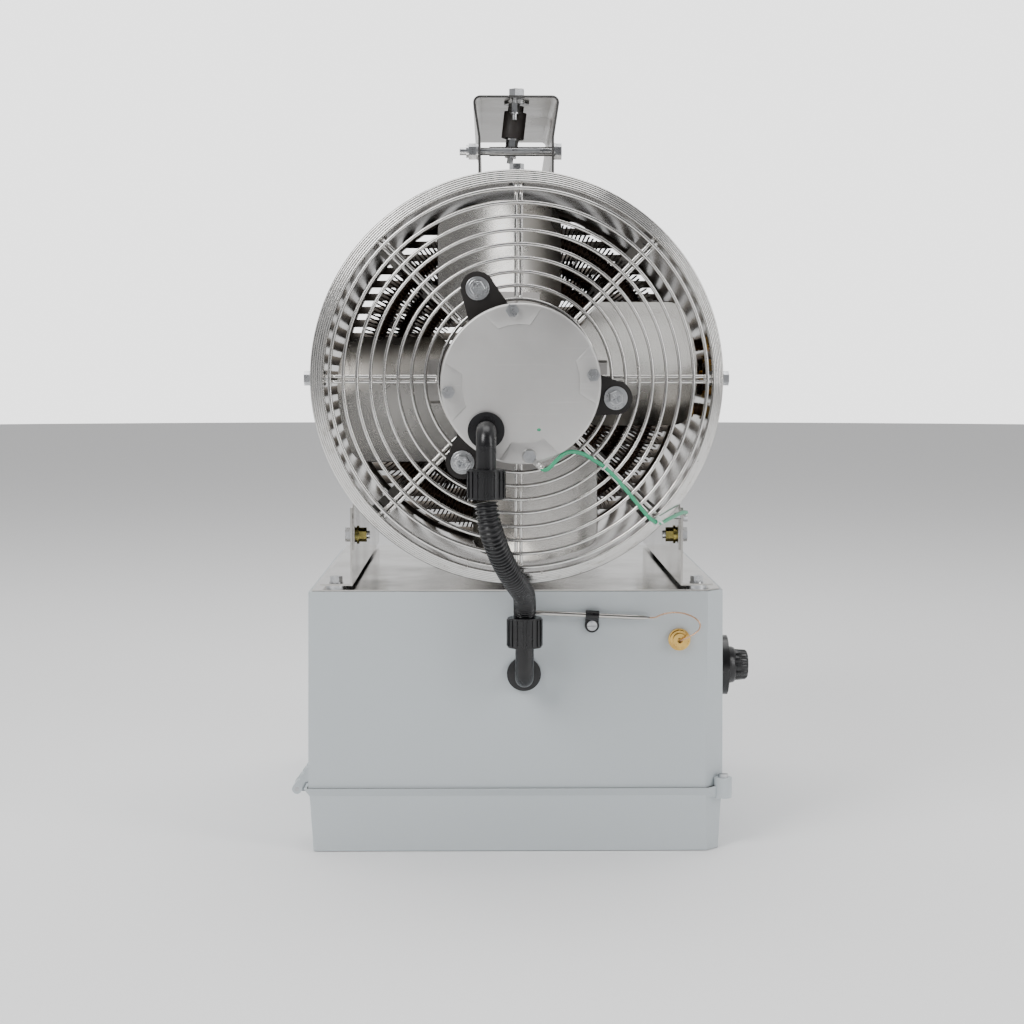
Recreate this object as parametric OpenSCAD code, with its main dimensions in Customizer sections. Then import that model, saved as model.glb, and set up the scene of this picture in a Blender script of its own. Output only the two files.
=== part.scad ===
// Electric greenhouse fan heater: a stainless drum with a rear intake guard, a motor,
// an impeller and finned elements, standing on a control box and hung by a top channel.
// X is across the heater, Y is the direction of the air flow, Z is up.
// The origin is the middle of the flat underside of the control box cover.

/* [Control box] */
// Width of the control box at its top
box_w = 264; // [260:1:266]
// Depth of the control box along the air flow
box_d = 306; // [300:1:312]
// Height of the top of the box above the surface it stands on
box_top = 167; // [160:1:170]
// Height of the joint between the box body and its cover
parting_z = 41; // [36:1:46]
// Wall thickness of the box mouldings
wall = 3; // [2.5:0.5:4]

/* [Drum] */
// Outer radius of the drum
drum_r = 129.5; // [128:0.5:130]
// Height of the drum axis above the surface
axis_z = 302; // [301:0.5:304]
// Rear rim of the drum along the air flow, where the air enters
drum_rear = -155; // [-158:1:-152]
// Front rim of the drum, where the warm air leaves
drum_front = 130; // [124:1:136]
// Thickness of the drum sheet
drum_sheet = 0.8; // [0.6:0.1:1]

/* [Guard] */
// Diameter of the guard wire
wire_d = 2.2; // [2:0.1:2.4]
// Place of the flat face of the guard along the air flow
guard_y = -223; // [-226:1:-221]
// Radius of the smallest ring in the guard face
ring_first = 47.2; // [47:0.1:48]
// Step in radius from ring to ring in the guard face
ring_step = 8.1; // [7.8:0.1:8.1]

/* [Fan] */
// Sideways place of the motor and impeller axis
motor_x = 1; // [0:0.5:1.5]
// How far the motor axis sits below the drum axis
motor_drop = 2.5; // [0:0.5:3]
// Tip radius of the impeller
tip_r = 117; // [112:1:118]
// Angle of the blades to the plane of rotation
blade_pitch = 27; // [20:1:30]

/* [Rails] */
// Height of the upright leg of each rail
rail_h = 49.6; // [46:0.2:50]
// Width of the foot of each rail
rail_foot = 20.5; // [18:0.5:21]

/* [Hanger] */
// Height of the top face of the hanger channel
hanger_top = 481.7; // [478:0.1:485]
// Width of the hanger channel at its top
hanger_w = 55; // [52:1:58]

/* [Hidden] */
$fn = 48;

// Small clearances
shaft_gap = 0.03;
pin_gap = 0.05;

// Earth screw on the right-hand rail
earth_screw_y = -145;
earth_screw_z = 214.5;

// Control box
draft = 1;
box_rear = -box_d / 2;
chamfer = 10.5;
rim_out = 3.5;
rim_h = 6.5;
cover_bottom_w = box_w - 4;
cover_bottom_d = box_d - 1;
lug_r = 5.7;
lug_up = 5.4;
lug_down = 7.4;
lug_x = 132.6;
lug_y = 148.5;
cover_screw_d = 4;
gasket_h = 1.2;

// Cover hinge
pin_x = -141.9;
pin_z = 36.9;
pin_d = 3;
barrel_r = 3.2;
hinge_y = 125;
hinge_gap = 0.4;
knuckle_w = 12;
ear_w = 6;
ear_top_z = 58;

// Rails and top plate
plate_t = 1;
plate_z = box_top + plate_t;
spacer_h = 2.6;
rail_t = 1.2;
rail_x = 104.3;
rail_z = plate_z + spacer_h;
rail_rear = box_rear + 2;
rail_front = 149;
rail_bolt_x = 115;
rail_bolt_y = [-144.5, 134];

// Drum ears
ear_t = 1;
ear_len = 24;
ear_y = [-131, 108];
ear_bolt_z = 201.5;
drum_ear_from = 36.9;
drum_ear_to = 51;

// Guard
wire_r = wire_d / 2;
face_rings = 9;
side_rings = 6;
face_r = ring_first + (face_rings - 1) * ring_step;
spoke_y = guard_y + wire_d;
spoke_half_gap = 1.5;
spoke_in = ring_first + 2.4;
bend_r = 6;
side_end_r = drum_r - drum_sheet - wire_r - 0.1;
side_end_y = -150;
guard_bolt_y = -147.2;
side_rise = side_end_y - spoke_y;
corner_r = face_r + 1;
side_lean = atan2(side_end_r - corner_r, side_rise);

// Motor
motor_z = axis_z - motor_drop;
cover_r = 47;
cover_y = -243;
cover_depth = 6;
can_r = 40.5;
can_front = -168;
nut_r = 42.6;
nut_angles = [6.7, 96.7, 186.7, 276.7];
bracket_y = guard_y - wire_r;
bracket_t = 2;
arm_points = [[-24.2, 53.3], [57.4, -11.1], [-33.3, -49.1]];
arm_w = 20;
arm_root_w = 31;
shaft_r = 4;
bearing_r = 11;
bearing_w = 7;
rear_bearing_y = -240.5;
front_bearing_y = can_front - bearing_w - 1.5;

// Impeller
blade_t = 1.2;
blade_camber_r = 150;
blade_y = -110;
blade_root = 24;
blade_w = 90;
blade_shift = -9;
blade_corner = 12;

// Heating elements
fin_r = 12.5;
tube_r = 4.2;
element_open = 26;

// Conduit and its fittings
conduit_d = 14;
gland_r = 10.8;
elbow_tube_r = 5.8;
motor_gland_x = -19.2;
motor_gland_z = 272.3;
motor_conduit_y = -269;
box_gland_x = 4.5;
box_gland_z = 114.7;
box_conduit_y = -179;

// Sensor and its gland
bulb_r = 1.6;
bulb_y = box_rear - 4.5;
bulb_z = 152.5;
bulb_tilt = 2.7;
bulb_from = -47;
bulb_to = 31.5;
bulb_tip = 36.5;
brass_x = 103.2;
brass_z = 136.6;
brass_r = 7;
insert_out = 6.5;

// Earth terminals and wire
terminal_t = 0.8;
wire_outer = 2.4;
tie_places = [8, 13];
wire_route = [
    [13, -244.9, 250], [15.5, -245.5, 249.4], [18.4, -245.2, 251.3], [22, -243.5, 255],
    [26.6, -240, 258.6], [32, -236.5, 259.6], [38.6, -233, 257.8], [45, -230.8, 254],
    [50.7, -229.6, 250.2], [58, -229, 243.2], [65, -228.6, 235], [72.5, -227.8, 225.9],
    [77.5, -226, 220], [82.1, -222, 216.9], [86.5, -214, 216], [90.1, -205, 216.7],
    [95, -192, 217.6], [100, -178, 218.2], [104.5, -164, 218.4], [107.2, -154, 217.2],
    [107.4, -149.4, 216]];

// Heating elements along the air flow
element_rear_y = -35;
element_front_y = -5;

// Ends of the two coupling nuts and the route of the conduit between them
motor_nut_low = 234;
motor_nut_top = 251;
box_nut_low = 135.5;
box_nut_top = 154;
conduit_route = [
    [-19.2, -269, 231], [-18.4, -269, 225], [-16.8, -267.4, 217], [-14, -262, 208],
    [-10.8, -254, 199.5], [-7.2, -245, 191.5], [-3.4, -235, 184.5], [-0.2, -223.5, 178.8],
    [2, -212, 174.6], [3.4, -200.5, 171.2], [4.2, -190, 167], [4.5, -182.6, 161.2],
    [4.5, -179.2, 156.6]];

// Sensor clip and capillary
clip_x = 47.7;
clip_w = 8.5;
clip_end_r = 4.6;
clip_t = 1.6;
clip_screw_z = 145.6;
capillary_r = 0.5;
capillary_route = [
    [85.4, -157.6, 150.8], [88, -158, 151.2], [91.5, -159, 153], [96.4, -160.4, 154.3],
    [101.8, -161.8, 154.6], [107.1, -163, 153.7], [112.2, -163.8, 151.3], [115.2, -164.2, 147.8],
    [114.6, -164.2, 144], [111.4, -163.8, 141.2], [107.8, -163.2, 139], [105, -162.6, 137.6],
    [103.4, -161.4, 136.8]];

// Bezels and spindles of the two controls
bezel_r = 19.5;
bezel_h = 6;
spindle_r = 3;

// Knobs
knob_y = -112;
knob_z = 113.7;
selector_y = -42;
selector_z = 105;

// Supply gland in the front wall
supply_x = -80;
supply_z = 90;

// Hanger
hanger_rear = -123;
hanger_front = 127;
hanger_t = 1.5;
hanger_leg_w = 48.5;
hanger_corner_r = 4.5;
hanger_waist_z = 455.5;
hanger_bolt_y = -112;
hanger_bolt_z = 447.4;
cross_bolt_r = 2.4;
hanger_foot = 24;
hanger_window_z = 440;
bobbin_x = 0.6;
bobbin_y = -100;
bobbin_tilt = 6.5;
bobbin_bolt_r = 2;
bobbin_from = 6.6;
bobbin_to = 23.5;
keeper_x = -0.9;
keeper_y = -111;
drum_top_z = 425;

// Colours
polycarbonate = "#b8bec1";
stainless = "#b9b6b0";
dark_steel = "#4a4540";
black_plastic = "#1b1b1c";
brass_yellow = "#c9a227";
zinc_yellow = "#96864a";
earth_green = "#3ca57d";

// ---------------------------------------------------------------- helpers

// A closed block whose four sides lean: widths and depths at its top and bottom
module drafted_block(top_w, bottom_w, top_d, bottom_d, low, high) {
    intersection() {
        rotate([90, 0, 0]) linear_extrude(400, center = true)
            polygon([[-bottom_w / 2, low], [bottom_w / 2, low], [top_w / 2, high], [-top_w / 2, high]]);
        rotate([90, 0, 90]) linear_extrude(400, center = true)
            polygon([[-bottom_d / 2, low], [bottom_d / 2, low], [top_d / 2, high], [-top_d / 2, high]]);
    }
}

// The two cut corners on the right-hand side of the box, moved in by inset
module corner_cuts(inset, low, high) {
    corner = (box_w + box_d) / 2 - chamfer - inset * sqrt(2);
    for (side = [-1, 1])
        translate([0, 0, low])
            linear_extrude(high - low)
                polygon([[corner - 100, side * 100], [corner - 200, side * 200], [corner, side * 200],
                         [corner, side * 100]]);
}

// A rod between two points along Y
module rod_y(r, from, to, x = 0, z = 0) {
    translate([x, from, z]) rotate([-90, 0, 0]) cylinder(r = r, h = to - from);
}

// A rod between two places along X
module rod_x(r, from, to, y = 0, z = 0) {
    translate([from, y, z]) rotate([0, 90, 0]) cylinder(r = r, h = to - from);
}

// A hexagon along Z, by its size across the flats
module hexagon(across, h) {
    cylinder(d = across / cos(30), h = h, $fn = 6);
}

// Both sides of the heater: the child and its mirror image
module both_sides() {
    children();
    mirror([1, 0, 0]) children();
}

// Points along an arc, for outlines with rounded corners
function arc(x, y, r, from, to, steps = 6) =
    [for (i = [0 : steps]) let (a = from + (to - from) * i / steps) [x + r * cos(a), y + r * sin(a)]];

// A tube swept along a list of points, as one closed polyhedron
function unit(v) = v / norm(v);
function heading(path, i) =
    unit(path[min(i + 1, len(path) - 1)] - path[max(i - 1, 0)]);
function between(p0, p1, p2, p3, t) =
    0.5 * (2 * p1 + (p2 - p0) * t + (2 * p0 - 5 * p1 + 4 * p2 - p3) * t * t
        + (3 * p1 - p0 - 3 * p2 + p3) * t * t * t);
function smooth(pts, steps) = concat(
    [for (i = [0 : len(pts) - 2], k = [0 : steps - 1])
        between(pts[max(i - 1, 0)], pts[i], pts[i + 1], pts[min(i + 2, len(pts) - 1)], k / steps)],
    [pts[len(pts) - 1]]);
// Frames carried along the path without a jump
function carried(path, i, side) =
    unit(side - (side * heading(path, i)) * heading(path, i));
function frames(path, i = 0, side = [1, 0.1, 0.05], found = []) =
    i == len(path) ? found
    : let (s = carried(path, i, side)) frames(path, i + 1, s, concat(found, [s]));
module swept_tube(path, r, sides) {
    sideways = frames(path);
    rings = len(path);
    points = [for (i = [0 : rings - 1], k = [0 : sides - 1])
        let (s = sideways[i], u = cross(heading(path, i), s), a = 360 * k / sides)
        path[i] + r * cos(a) * s + r * sin(a) * u];
    walls = [for (i = [0 : rings - 2], k = [0 : sides - 1])
        let (n = (k + 1) % sides)
        each [[i * sides + k, (i + 1) * sides + k, (i + 1) * sides + n],
              [i * sides + k, (i + 1) * sides + n, i * sides + n]]];
    first = [[for (k = [0 : sides - 1]) k]];
    last = [[for (k = [0 : sides - 1]) rings * sides - 1 - k]];
    polyhedron(points, concat(walls, first, last));
}

// Outer face of the leaning rear and right walls of the box at a height
function lean(z) = draft * (box_top - z) / (box_top - parting_z);
function rear_wall(z) = box_rear - lean(z);
function right_wall(z) = box_w / 2 + lean(z);

// ---------------------------------------------------------------- control box

// The leaning outer form of the box body, moved in by inset
module body_form(inset, low, high) {
    difference() {
        drafted_block(box_w - 2 * inset, box_w + 2 * draft - 2 * inset,
                      box_d - 2 * inset, box_d + 2 * draft - 2 * inset, low, high);
        corner_cuts(inset, low - 1, high + 1);
    }
}

// An upright block with the plan of the box, moved in by inset
module plan_form(inset, low, high) {
    difference() {
        drafted_block(box_w - 2 * inset, box_w - 2 * inset, box_d - 2 * inset, box_d - 2 * inset, low, high);
        corner_cuts(inset, low - 1, high + 1);
    }
}

// The two screw lugs on the right-hand corners
module corner_lugs(r, low, high) {
    for (side = [-1, 1])
        translate([lug_x, side * lug_y, low]) cylinder(r = r, h = high - low);
}

// One flat hinge ear with a notched edge, drawn in the XZ plane round the hinge pin
module hinge_ear(width, y) {
    root = [1 - box_w / 2, ear_top_z];
    outside = [pin_x - 3, pin_z + 0.8];
    translate([0, y + width / 2, 0])
        rotate([90, 0, 0])
            linear_extrude(width)
                difference() {
                    union() {
                        translate([pin_x, pin_z]) circle(r = barrel_r);
                        polygon([[pin_x + 3, pin_z], outside, root, [root[0], parting_z + 0.6],
                                 [pin_x + 5.5, parting_z + 0.6]]);
                    }
                    for (t = [0.3 : 0.2 : 0.9])
                        translate(outside + (root - outside) * t) circle(r = 0.9);
                }
}

module control_box_body() {
    color(polycarbonate)
        difference() {
            union() {
                body_form(0, parting_z, box_top);
                corner_lugs(lug_r, parting_z, parting_z + lug_up);
                for (y = [-hinge_y, hinge_y], side = [-1, 1])
                    hinge_ear(ear_w, y + side * (knuckle_w / 2 + hinge_gap + ear_w / 2));
            }
            body_form(wall, parting_z - 1, box_top - wall);
            corner_lugs(cover_screw_d / 2 + 0.2, parting_z - 1, parting_z + lug_up + 1);
            rod_y(pin_d / 2, -hinge_y - 30, hinge_y + 30, pin_x, pin_z);
            rod_y(6.1, box_rear - 5, box_rear + 10, box_gland_x, box_gland_z);
            rod_y(3.6, box_rear - 5, box_rear + 10, brass_x, brass_z);
            rod_y(1.7, box_rear - 5, box_rear + 10, clip_x, clip_screw_z);
            rod_x(5.2, box_w / 2 - 10, box_w / 2 + 5, knob_y, knob_z);
            rod_x(5.2, box_w / 2 - 10, box_w / 2 + 5, selector_y, selector_z);
            rod_y(8.1, box_d / 2 - 10, box_d / 2 + 5, supply_x, supply_z);
            both_sides()
                for (y = rail_bolt_y)
                    translate([rail_bolt_x, y, box_top - wall - 1]) cylinder(r = 2.2, h = wall + 2);
        }
}

// The leaning outer form of the cover, moved in by inset
module cover_form(inset, low) {
    difference() {
        drafted_block(box_w + 1 - 2 * inset, cover_bottom_w - 2 * inset,
                      box_d + 1 - 2 * inset, cover_bottom_d - 2 * inset, low, parting_z);
        corner_cuts(inset, low - 1, parting_z + 1);
    }
}

// Lip round the top of the cover, sloping in to its wall
module cover_rim() {
    difference() {
        drafted_block(box_w + 2 * rim_out, box_w - 1, box_d + 2 * rim_out, box_d - 1,
                      parting_z - rim_h, parting_z);
        corner_cuts(-rim_out, 0, box_top);
    }
}

// The part of each hinge that swings with the cover
module cover_knuckle(y) {
    root_x = 1 - box_w / 2;
    translate([0, y + knuckle_w / 2, 0])
        rotate([90, 0, 0])
            linear_extrude(knuckle_w)
                union() {
                    translate([pin_x, pin_z]) circle(r = barrel_r - 0.2);
                    polygon([[pin_x, pin_z + 2.9], [root_x, parting_z - 0.3], [root_x, parting_z - rim_h],
                             [pin_x, pin_z - 2.9]]);
                }
}

module control_box_cover() {
    color(polycarbonate)
        difference() {
            union() {
                cover_form(0, 0);
                cover_rim();
                corner_lugs(lug_r, parting_z - lug_down, parting_z);
                for (y = [-hinge_y, hinge_y])
                    cover_knuckle(y);
            }
            cover_form(wall, wall);
            plan_form(-2, parting_z - gasket_h, parting_z + 1);
            corner_lugs(cover_screw_d / 2 + 0.6, parting_z - 6.4, parting_z + 1);
            rod_y(pin_d / 2 + pin_gap, -hinge_y - 10, hinge_y + 10, pin_x, pin_z);
        }
}

module cover_gasket() {
    color("dimgray")
        difference() {
            plan_form(-1.9, parting_z - gasket_h, parting_z);
            plan_form(0.8, parting_z - gasket_h - 1, parting_z + 1);
        }
}

module cover_hinge_pins() {
    pin_half = knuckle_w / 2 + hinge_gap + ear_w;
    color("silver")
        for (y = [-hinge_y, hinge_y])
            rod_y(pin_d / 2, y - pin_half, y + pin_half, pin_x, pin_z);
}

module cover_screws() {
    color("silver")
        for (side = [-1, 1])
            translate([lug_x, side * lug_y, 0])
                difference() {
                    union() {
                        translate([0, 0, parting_z - 6]) cylinder(d = cover_screw_d, h = 6 + lug_up + 1);
                        translate([0, 0, parting_z + lug_up]) cylinder(r = 3.2, h = 2.2);
                    }
                    translate([-4, -0.5, parting_z + lug_up + 1.4]) cube([8, 1, 2]);
                }
}

module top_plate() {
    color(stainless)
        difference() {
            translate([-box_w / 2 + 2, box_rear + 2, box_top]) cube([box_w - 4, box_d - 4, plate_t]);
            corner_cuts(2, box_top - 1, plate_z + 1);
            both_sides()
                for (y = rail_bolt_y)
                    translate([rail_bolt_x, y, box_top - 1]) cylinder(r = 2.2, h = plate_t + 2);
        }
}

// ---------------------------------------------------------------- rails and ears

// The right-hand rail: an upright leg with a foot that turns outwards
module rail() {
    length = rail_front - rail_rear;
    color(stainless)
        difference() {
            union() {
                translate([rail_x, rail_rear, rail_z]) cube([rail_t, length, rail_h]);
                translate([rail_x, rail_rear, rail_z]) cube([rail_foot, length, rail_t]);
            }
            for (y = rail_bolt_y)
                translate([rail_bolt_x, y, rail_z - 1]) cylinder(r = 2.2, h = rail_t + 2);
            for (y = ear_y)
                rod_x(2.6, rail_x - 1, rail_x + rail_t + 1, y, ear_bolt_z);
            rod_x(2, rail_x - 1, rail_x + rail_t + 1, earth_screw_y, earth_screw_z);
        }
}

module rail_left() {
    mirror([1, 0, 0]) rail();
}

module rail_right() {
    rail();
}

module rail_spacers() {
    color("silver")
        both_sides()
            for (y = rail_bolt_y)
                translate([rail_bolt_x, y, plate_z])
                    difference() {
                        cylinder(r = 6.5, h = spacer_h);
                        translate([0, 0, -1]) cylinder(r = 2.2, h = spacer_h + 2);
                    }
}

// M4 bolts through the feet, the spacers and the top of the box, with their nuts inside
module rail_bolts() {
    seat = rail_z + rail_t;
    color("silver")
        both_sides()
            for (y = rail_bolt_y)
                translate([rail_bolt_x, y, 0]) {
                    translate([0, 0, seat]) cylinder(r = 4.5, h = 0.8);
                    translate([0, 0, seat + 0.8]) hexagon(7, 3.6);
                    translate([0, 0, box_top - wall - 6]) cylinder(r = 2, h = seat + 7 - box_top + wall);
                    translate([0, 0, box_top - wall - 3.2]) hexagon(7, 3.2);
                }
}

// One ear: an upright tab bolted to the rail leg and a curved flange spot-welded to the drum
module drum_ear(y) {
    inner = rail_x - ear_t;
    meet = sqrt(drum_r * drum_r - inner * inner);
    low = axis_z - ear_bolt_z + 9;
    reach = drum_r + 40;
    translate([0, y + ear_len / 2, axis_z])
        rotate([90, 0, 0])
            linear_extrude(ear_len)
                union() {
                    intersection() {
                        difference() {
                            circle(r = drum_r + ear_t);
                            circle(r = drum_r);
                        }
                        polygon([[0, 0],
                                 [reach * cos(drum_ear_from), -reach * sin(drum_ear_from)],
                                 [reach * cos(drum_ear_to), -reach * sin(drum_ear_to)]]);
                    }
                    translate([inner, -low]) square([ear_t, low - meet]);
                }
}

module drum_ears() {
    color(stainless)
        both_sides()
            difference() {
                union() for (y = ear_y) drum_ear(y);
                for (y = ear_y) rod_x(2.6, rail_x - 5, rail_x + 5, y, ear_bolt_z);
            }
}

module ear_bolts() {
    face = rail_x + rail_t;
    color("silver")
        both_sides()
            for (y = ear_y) {
                rod_x(2.5, rail_x - ear_t - 9.1, face + 1, y, ear_bolt_z);
                rod_x(5, face, face + 1, y, ear_bolt_z);
                translate([face + 1, y, ear_bolt_z]) rotate([0, 90, 0]) hexagon(8, 3.5);
            }
}

// Flange nuts with their washers on the inside of the ears
module ear_nuts() {
    color(zinc_yellow)
        both_sides()
            for (y = ear_y)
                translate([rail_x - ear_t, y, ear_bolt_z])
                    rotate([0, -90, 0])
                        difference() {
                            union() {
                                cylinder(r = 4.8, h = 1);
                                translate([0, 0, 0.9]) cylinder(r = 5.9, h = 1.4);
                                translate([0, 0, 1]) hexagon(8, 6.1);
                            }
                            translate([0, 0, -1]) cylinder(r = 2.5, h = 10);
                        }
}

// ---------------------------------------------------------------- drum and grille

// Stands a shape that is turned about Z up round the drum axis, its height running along Y
module on_drum_axis() {
    translate([0, 0, axis_z]) rotate([-90, 0, 0]) children();
}

module drum_shell() {
    bead_r = 0.8;
    color(stainless)
        difference() {
            on_drum_axis()
                rotate_extrude()
                    union() {
                        translate([drum_r - drum_sheet, drum_rear])
                            square([drum_sheet, drum_front - drum_rear]);
                        for (rim = [drum_rear + bead_r, drum_front - bead_r])
                            translate([drum_r - drum_sheet / 2, rim]) circle(r = bead_r);
                    }
            on_drum_axis()
                for (turn = [0 : 90 : 270])
                    rotate([0, 0, turn])
                        translate([drum_r - 5, 0, guard_bolt_y]) rotate([0, 90, 0])
                            cylinder(r = 2.6, h = 10);
        }
}

// Level slats across the outlet, held in a ring
module front_grille() {
    slat_pitch = 10;
    slat_depth = 10;
    slat_tilt = 32;
    ring_in = drum_r - drum_sheet - 2;
    middle_y = drum_front - 9;
    color(dark_steel)
        union() {
            on_drum_axis()
                rotate_extrude()
                    translate([ring_in, middle_y - 6]) square([2, 12]);
            intersection() {
                rod_y(ring_in + 0.5, middle_y - 8, middle_y + 8, 0, axis_z);
                for (k = [-12 : 12])
                    translate([0, middle_y, axis_z + k * slat_pitch])
                        rotate([slat_tilt, 0, 0])
                            cube([260, slat_depth, 0.8], center = true);
            }
        }
}

// ---------------------------------------------------------------- guard

module guard_face_rings() {
    color("gainsboro")
        on_drum_axis()
            for (k = [0 : face_rings - 1])
                rotate_extrude() translate([ring_first + k * ring_step, guard_y]) circle(r = wire_r);
}

// Rings round the side of the guard, lying on the outside of the spokes
module guard_side_rings() {
    side_first = 10;
    side_step = 11;
    color("gainsboro")
        on_drum_axis()
            for (k = [0 : side_rings - 1]) {
                along = side_first + k * side_step;
                rotate_extrude()
                    translate([corner_r + along * tan(side_lean) + wire_d * cos(side_lean) + 0.02,
                               spoke_y + along - wire_d * sin(side_lean)])
                        circle(r = wire_r);
            }
}

// Half of a spoke, from its end at the drum to the start of the turn at the motor
function half_spoke(side) =
    let (turn = 90 - side_lean, bend_x = corner_r - bend_r * tan(turn / 2))
    concat([[side_end_r, side_end_y, side * spoke_half_gap]],
           [for (p = arc(bend_x, spoke_y + bend_r, bend_r, -side_lean, -90, 5))
               [p[0], p[1], side * spoke_half_gap]],
           [[spoke_in, spoke_y, side * spoke_half_gap]]);

// The whole hairpin: in along one wire, round the turn, and out along the other
function hairpin() =
    let (ending = half_spoke(-1))
    concat(half_spoke(1),
           [for (a = [30 : 30 : 150])
               [spoke_in - spoke_half_gap * sin(a), spoke_y, spoke_half_gap * cos(a)]],
           [for (i = [len(ending) - 1 : -1 : 0]) ending[i]]);

module guard_spokes() {
    color("gainsboro")
        for (turn = [0 : 45 : 315])
            translate([0, 0, axis_z])
                rotate([0, -turn, 0]) swept_tube(hairpin(), wire_r, 8);
}

// Radial bolts through the drum rim, each clamping two spoke ends with a large washer
module guard_bolts() {
    clamp_r = side_end_r - wire_r - 0.8;
    color("silver")
        for (turn = [0 : 90 : 270])
            translate([0, 0, axis_z])
                rotate([0, -turn, 0])
                    translate([0, guard_bolt_y, 0]) {
                        rod_x(2.5, clamp_r - 7, drum_r + 1);
                        rod_x(4.8, drum_r + 0.1, drum_r + 1);
                        translate([drum_r + 1, 0, 0]) rotate([0, 90, 0]) hexagon(8, 3.5);
                        rod_x(6, clamp_r - 1.2, clamp_r);
                        translate([clamp_r - 5.2, 0, 0]) rotate([0, 90, 0]) hexagon(8, 4);
                    }
}

// ---------------------------------------------------------------- motor

// Stands a shape that is turned about Z up round the motor axis, its height running along Y
module on_motor_axis() {
    translate([motor_x, 0, motor_z]) rotate([-90, 0, 0]) children();
}

// Round profile between two radii and two places along the axis, for rotate_extrude
module band(inner, outer, from, to) {
    translate([inner, from]) square([outer - inner, to - from]);
}

module motor_can() {
    rear = cover_y + cover_depth;
    color("#8b8985")
        on_motor_axis()
            rotate_extrude()
                union() {
                    band(can_r - 1.5, can_r, rear, can_front);
                    band(can_r - 1.5, cover_r - 1.6, rear, rear + 1.5);
                    band(shaft_r + 0.6, can_r, can_front - 1.5, can_front);
                    band(bearing_r, bearing_r + 2, can_front - 1.5 - bearing_w, can_front);
                }
}

module motor_end_cover() {
    color("#bebcb9")
        on_motor_axis()
            rotate_extrude()
                union() {
                    band(0, cover_r, cover_y, cover_y + 1.5);
                    band(cover_r - 1.5, cover_r, cover_y, cover_y + cover_depth);
                    band(bearing_r, bearing_r + 2, cover_y, rear_bearing_y + bearing_w);
                }
}

// Places an item on the motor's rear cover at a radius and an angle
module on_cover(angle, r, y) {
    translate([motor_x + r * cos(angle), y, motor_z + r * sin(angle)]) rotate([90, 0, 0]) children();
}

// Nuts on the four studs of the rear cover, their studs a little short of the
// nuts' ends, and the lowest one over the earth terminal
module motor_cover_nuts() {
    color("silver")
        for (k = [0 : 3])
            on_cover(nut_angles[k], nut_r, cover_y - (k == 3 ? terminal_t : 0)) {
                difference() {
                    hexagon(7, 4);
                    translate([0, 0, 3.2]) cylinder(r = 2, h = 2);
                }
            }
}

module motor_bracket() {
    color(black_plastic)
        translate([0, bracket_y, axis_z])
            rotate([90, 0, 0])
                linear_extrude(bracket_t)
                    difference() {
                        union() {
                            translate([motor_x, -motor_drop]) circle(r = cover_r);
                            for (p = arm_points) {
                                dx = p[0] - motor_x;
                                dz = p[1] + motor_drop;
                                reach = norm([dx, dz]);
                                translate([motor_x, -motor_drop])
                                    rotate([0, 0, atan2(dz, dx)])
                                        union() {
                                            polygon([[30, -arm_root_w / 2], [reach, -arm_w / 2],
                                                     [reach, arm_w / 2], [30, arm_root_w / 2]]);
                                            translate([reach, 0]) circle(r = arm_w / 2);
                                        }
                            }
                        }
                        translate([motor_x, -motor_drop]) circle(r = can_r);
                        for (p = arm_points)
                            translate([p[0], p[1]]) circle(r = 2.2);
                    }
}

// Puts the child at each bracket arm, with the child's height pointing to the rear
module at_arms(y) {
    for (p = arm_points)
        translate([p[0], y, axis_z + p[1]]) rotate([90, 0, 0]) children();
}

// Screws with washers, and the round plates and nuts that clamp the guard rings from the inside
module bracket_fixings() {
    length = 16;
    clamp_y = guard_y + wire_r;
    color("silver") {
        at_arms(bracket_y - bracket_t) {
            cylinder(r = 7, h = 1.2);
            translate([0, 0, 1.2]) hexagon(8, 3.5);
            translate([0, 0, 1.2 - length]) cylinder(r = 2, h = length);
        }
        at_arms(clamp_y)
            translate([0, 0, -4.7])
                difference() {
                    union() {
                        hexagon(7, 4);
                        translate([0, 0, 3.2]) cylinder(r = 8, h = 1.5);
                    }
                    translate([0, 0, -1]) cylinder(r = 2.05, h = 8);
                }
    }
}

module motor_stator() {
    color("#6d6a66")
        on_motor_axis()
            rotate_extrude() band(26, can_r - 1.5, -226, -184);
}

module motor_rotor() {
    color("#8a8580")
        on_motor_axis()
            rotate_extrude() band(shaft_r, 25.4, -226, -184);
}

module motor_bearings() {
    color("lightgray")
        on_motor_axis()
            for (y = [rear_bearing_y, front_bearing_y])
                rotate_extrude() band(shaft_r + shaft_gap, bearing_r, y, y + bearing_w);
}

module motor_shaft() {
    color("silver")
        rod_y(shaft_r, rear_bearing_y + 0.5, blade_y + 12, motor_x, motor_z);
}

// ---------------------------------------------------------------- impeller

// Sets a child, drawn with its radius along Z, at one of the four blade places
module blade_place(number) {
    translate([motor_x, blade_y, motor_z])
        rotate([0, 90 * (number - 1), 0])
            rotate([0, 0, blade_pitch])
                children();
}

// Boss, hub disc and four pitched arms with two rivets each
module impeller_spider() {
    arm_t = 2;
    color("#9a9792")
        difference() {
            union() {
                rod_y(10, blade_y - 11, blade_y + 9, motor_x, motor_z);
                for (number = [1 : 4])
                    blade_place(number) {
                        translate([-15, -blade_t / 2 - arm_t, 6]) cube([30, arm_t, 52]);
                        for (r = [36, 50])
                            translate([0, -blade_t / 2 - arm_t - 1.4, r])
                                rotate([-90, 0, 0]) cylinder(r = 2.5, h = arm_t + blade_t + 2.8);
                    }
            }
            rod_y(shaft_r, blade_y - 30, blade_y + 30, motor_x, motor_z);
        }
}

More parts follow.
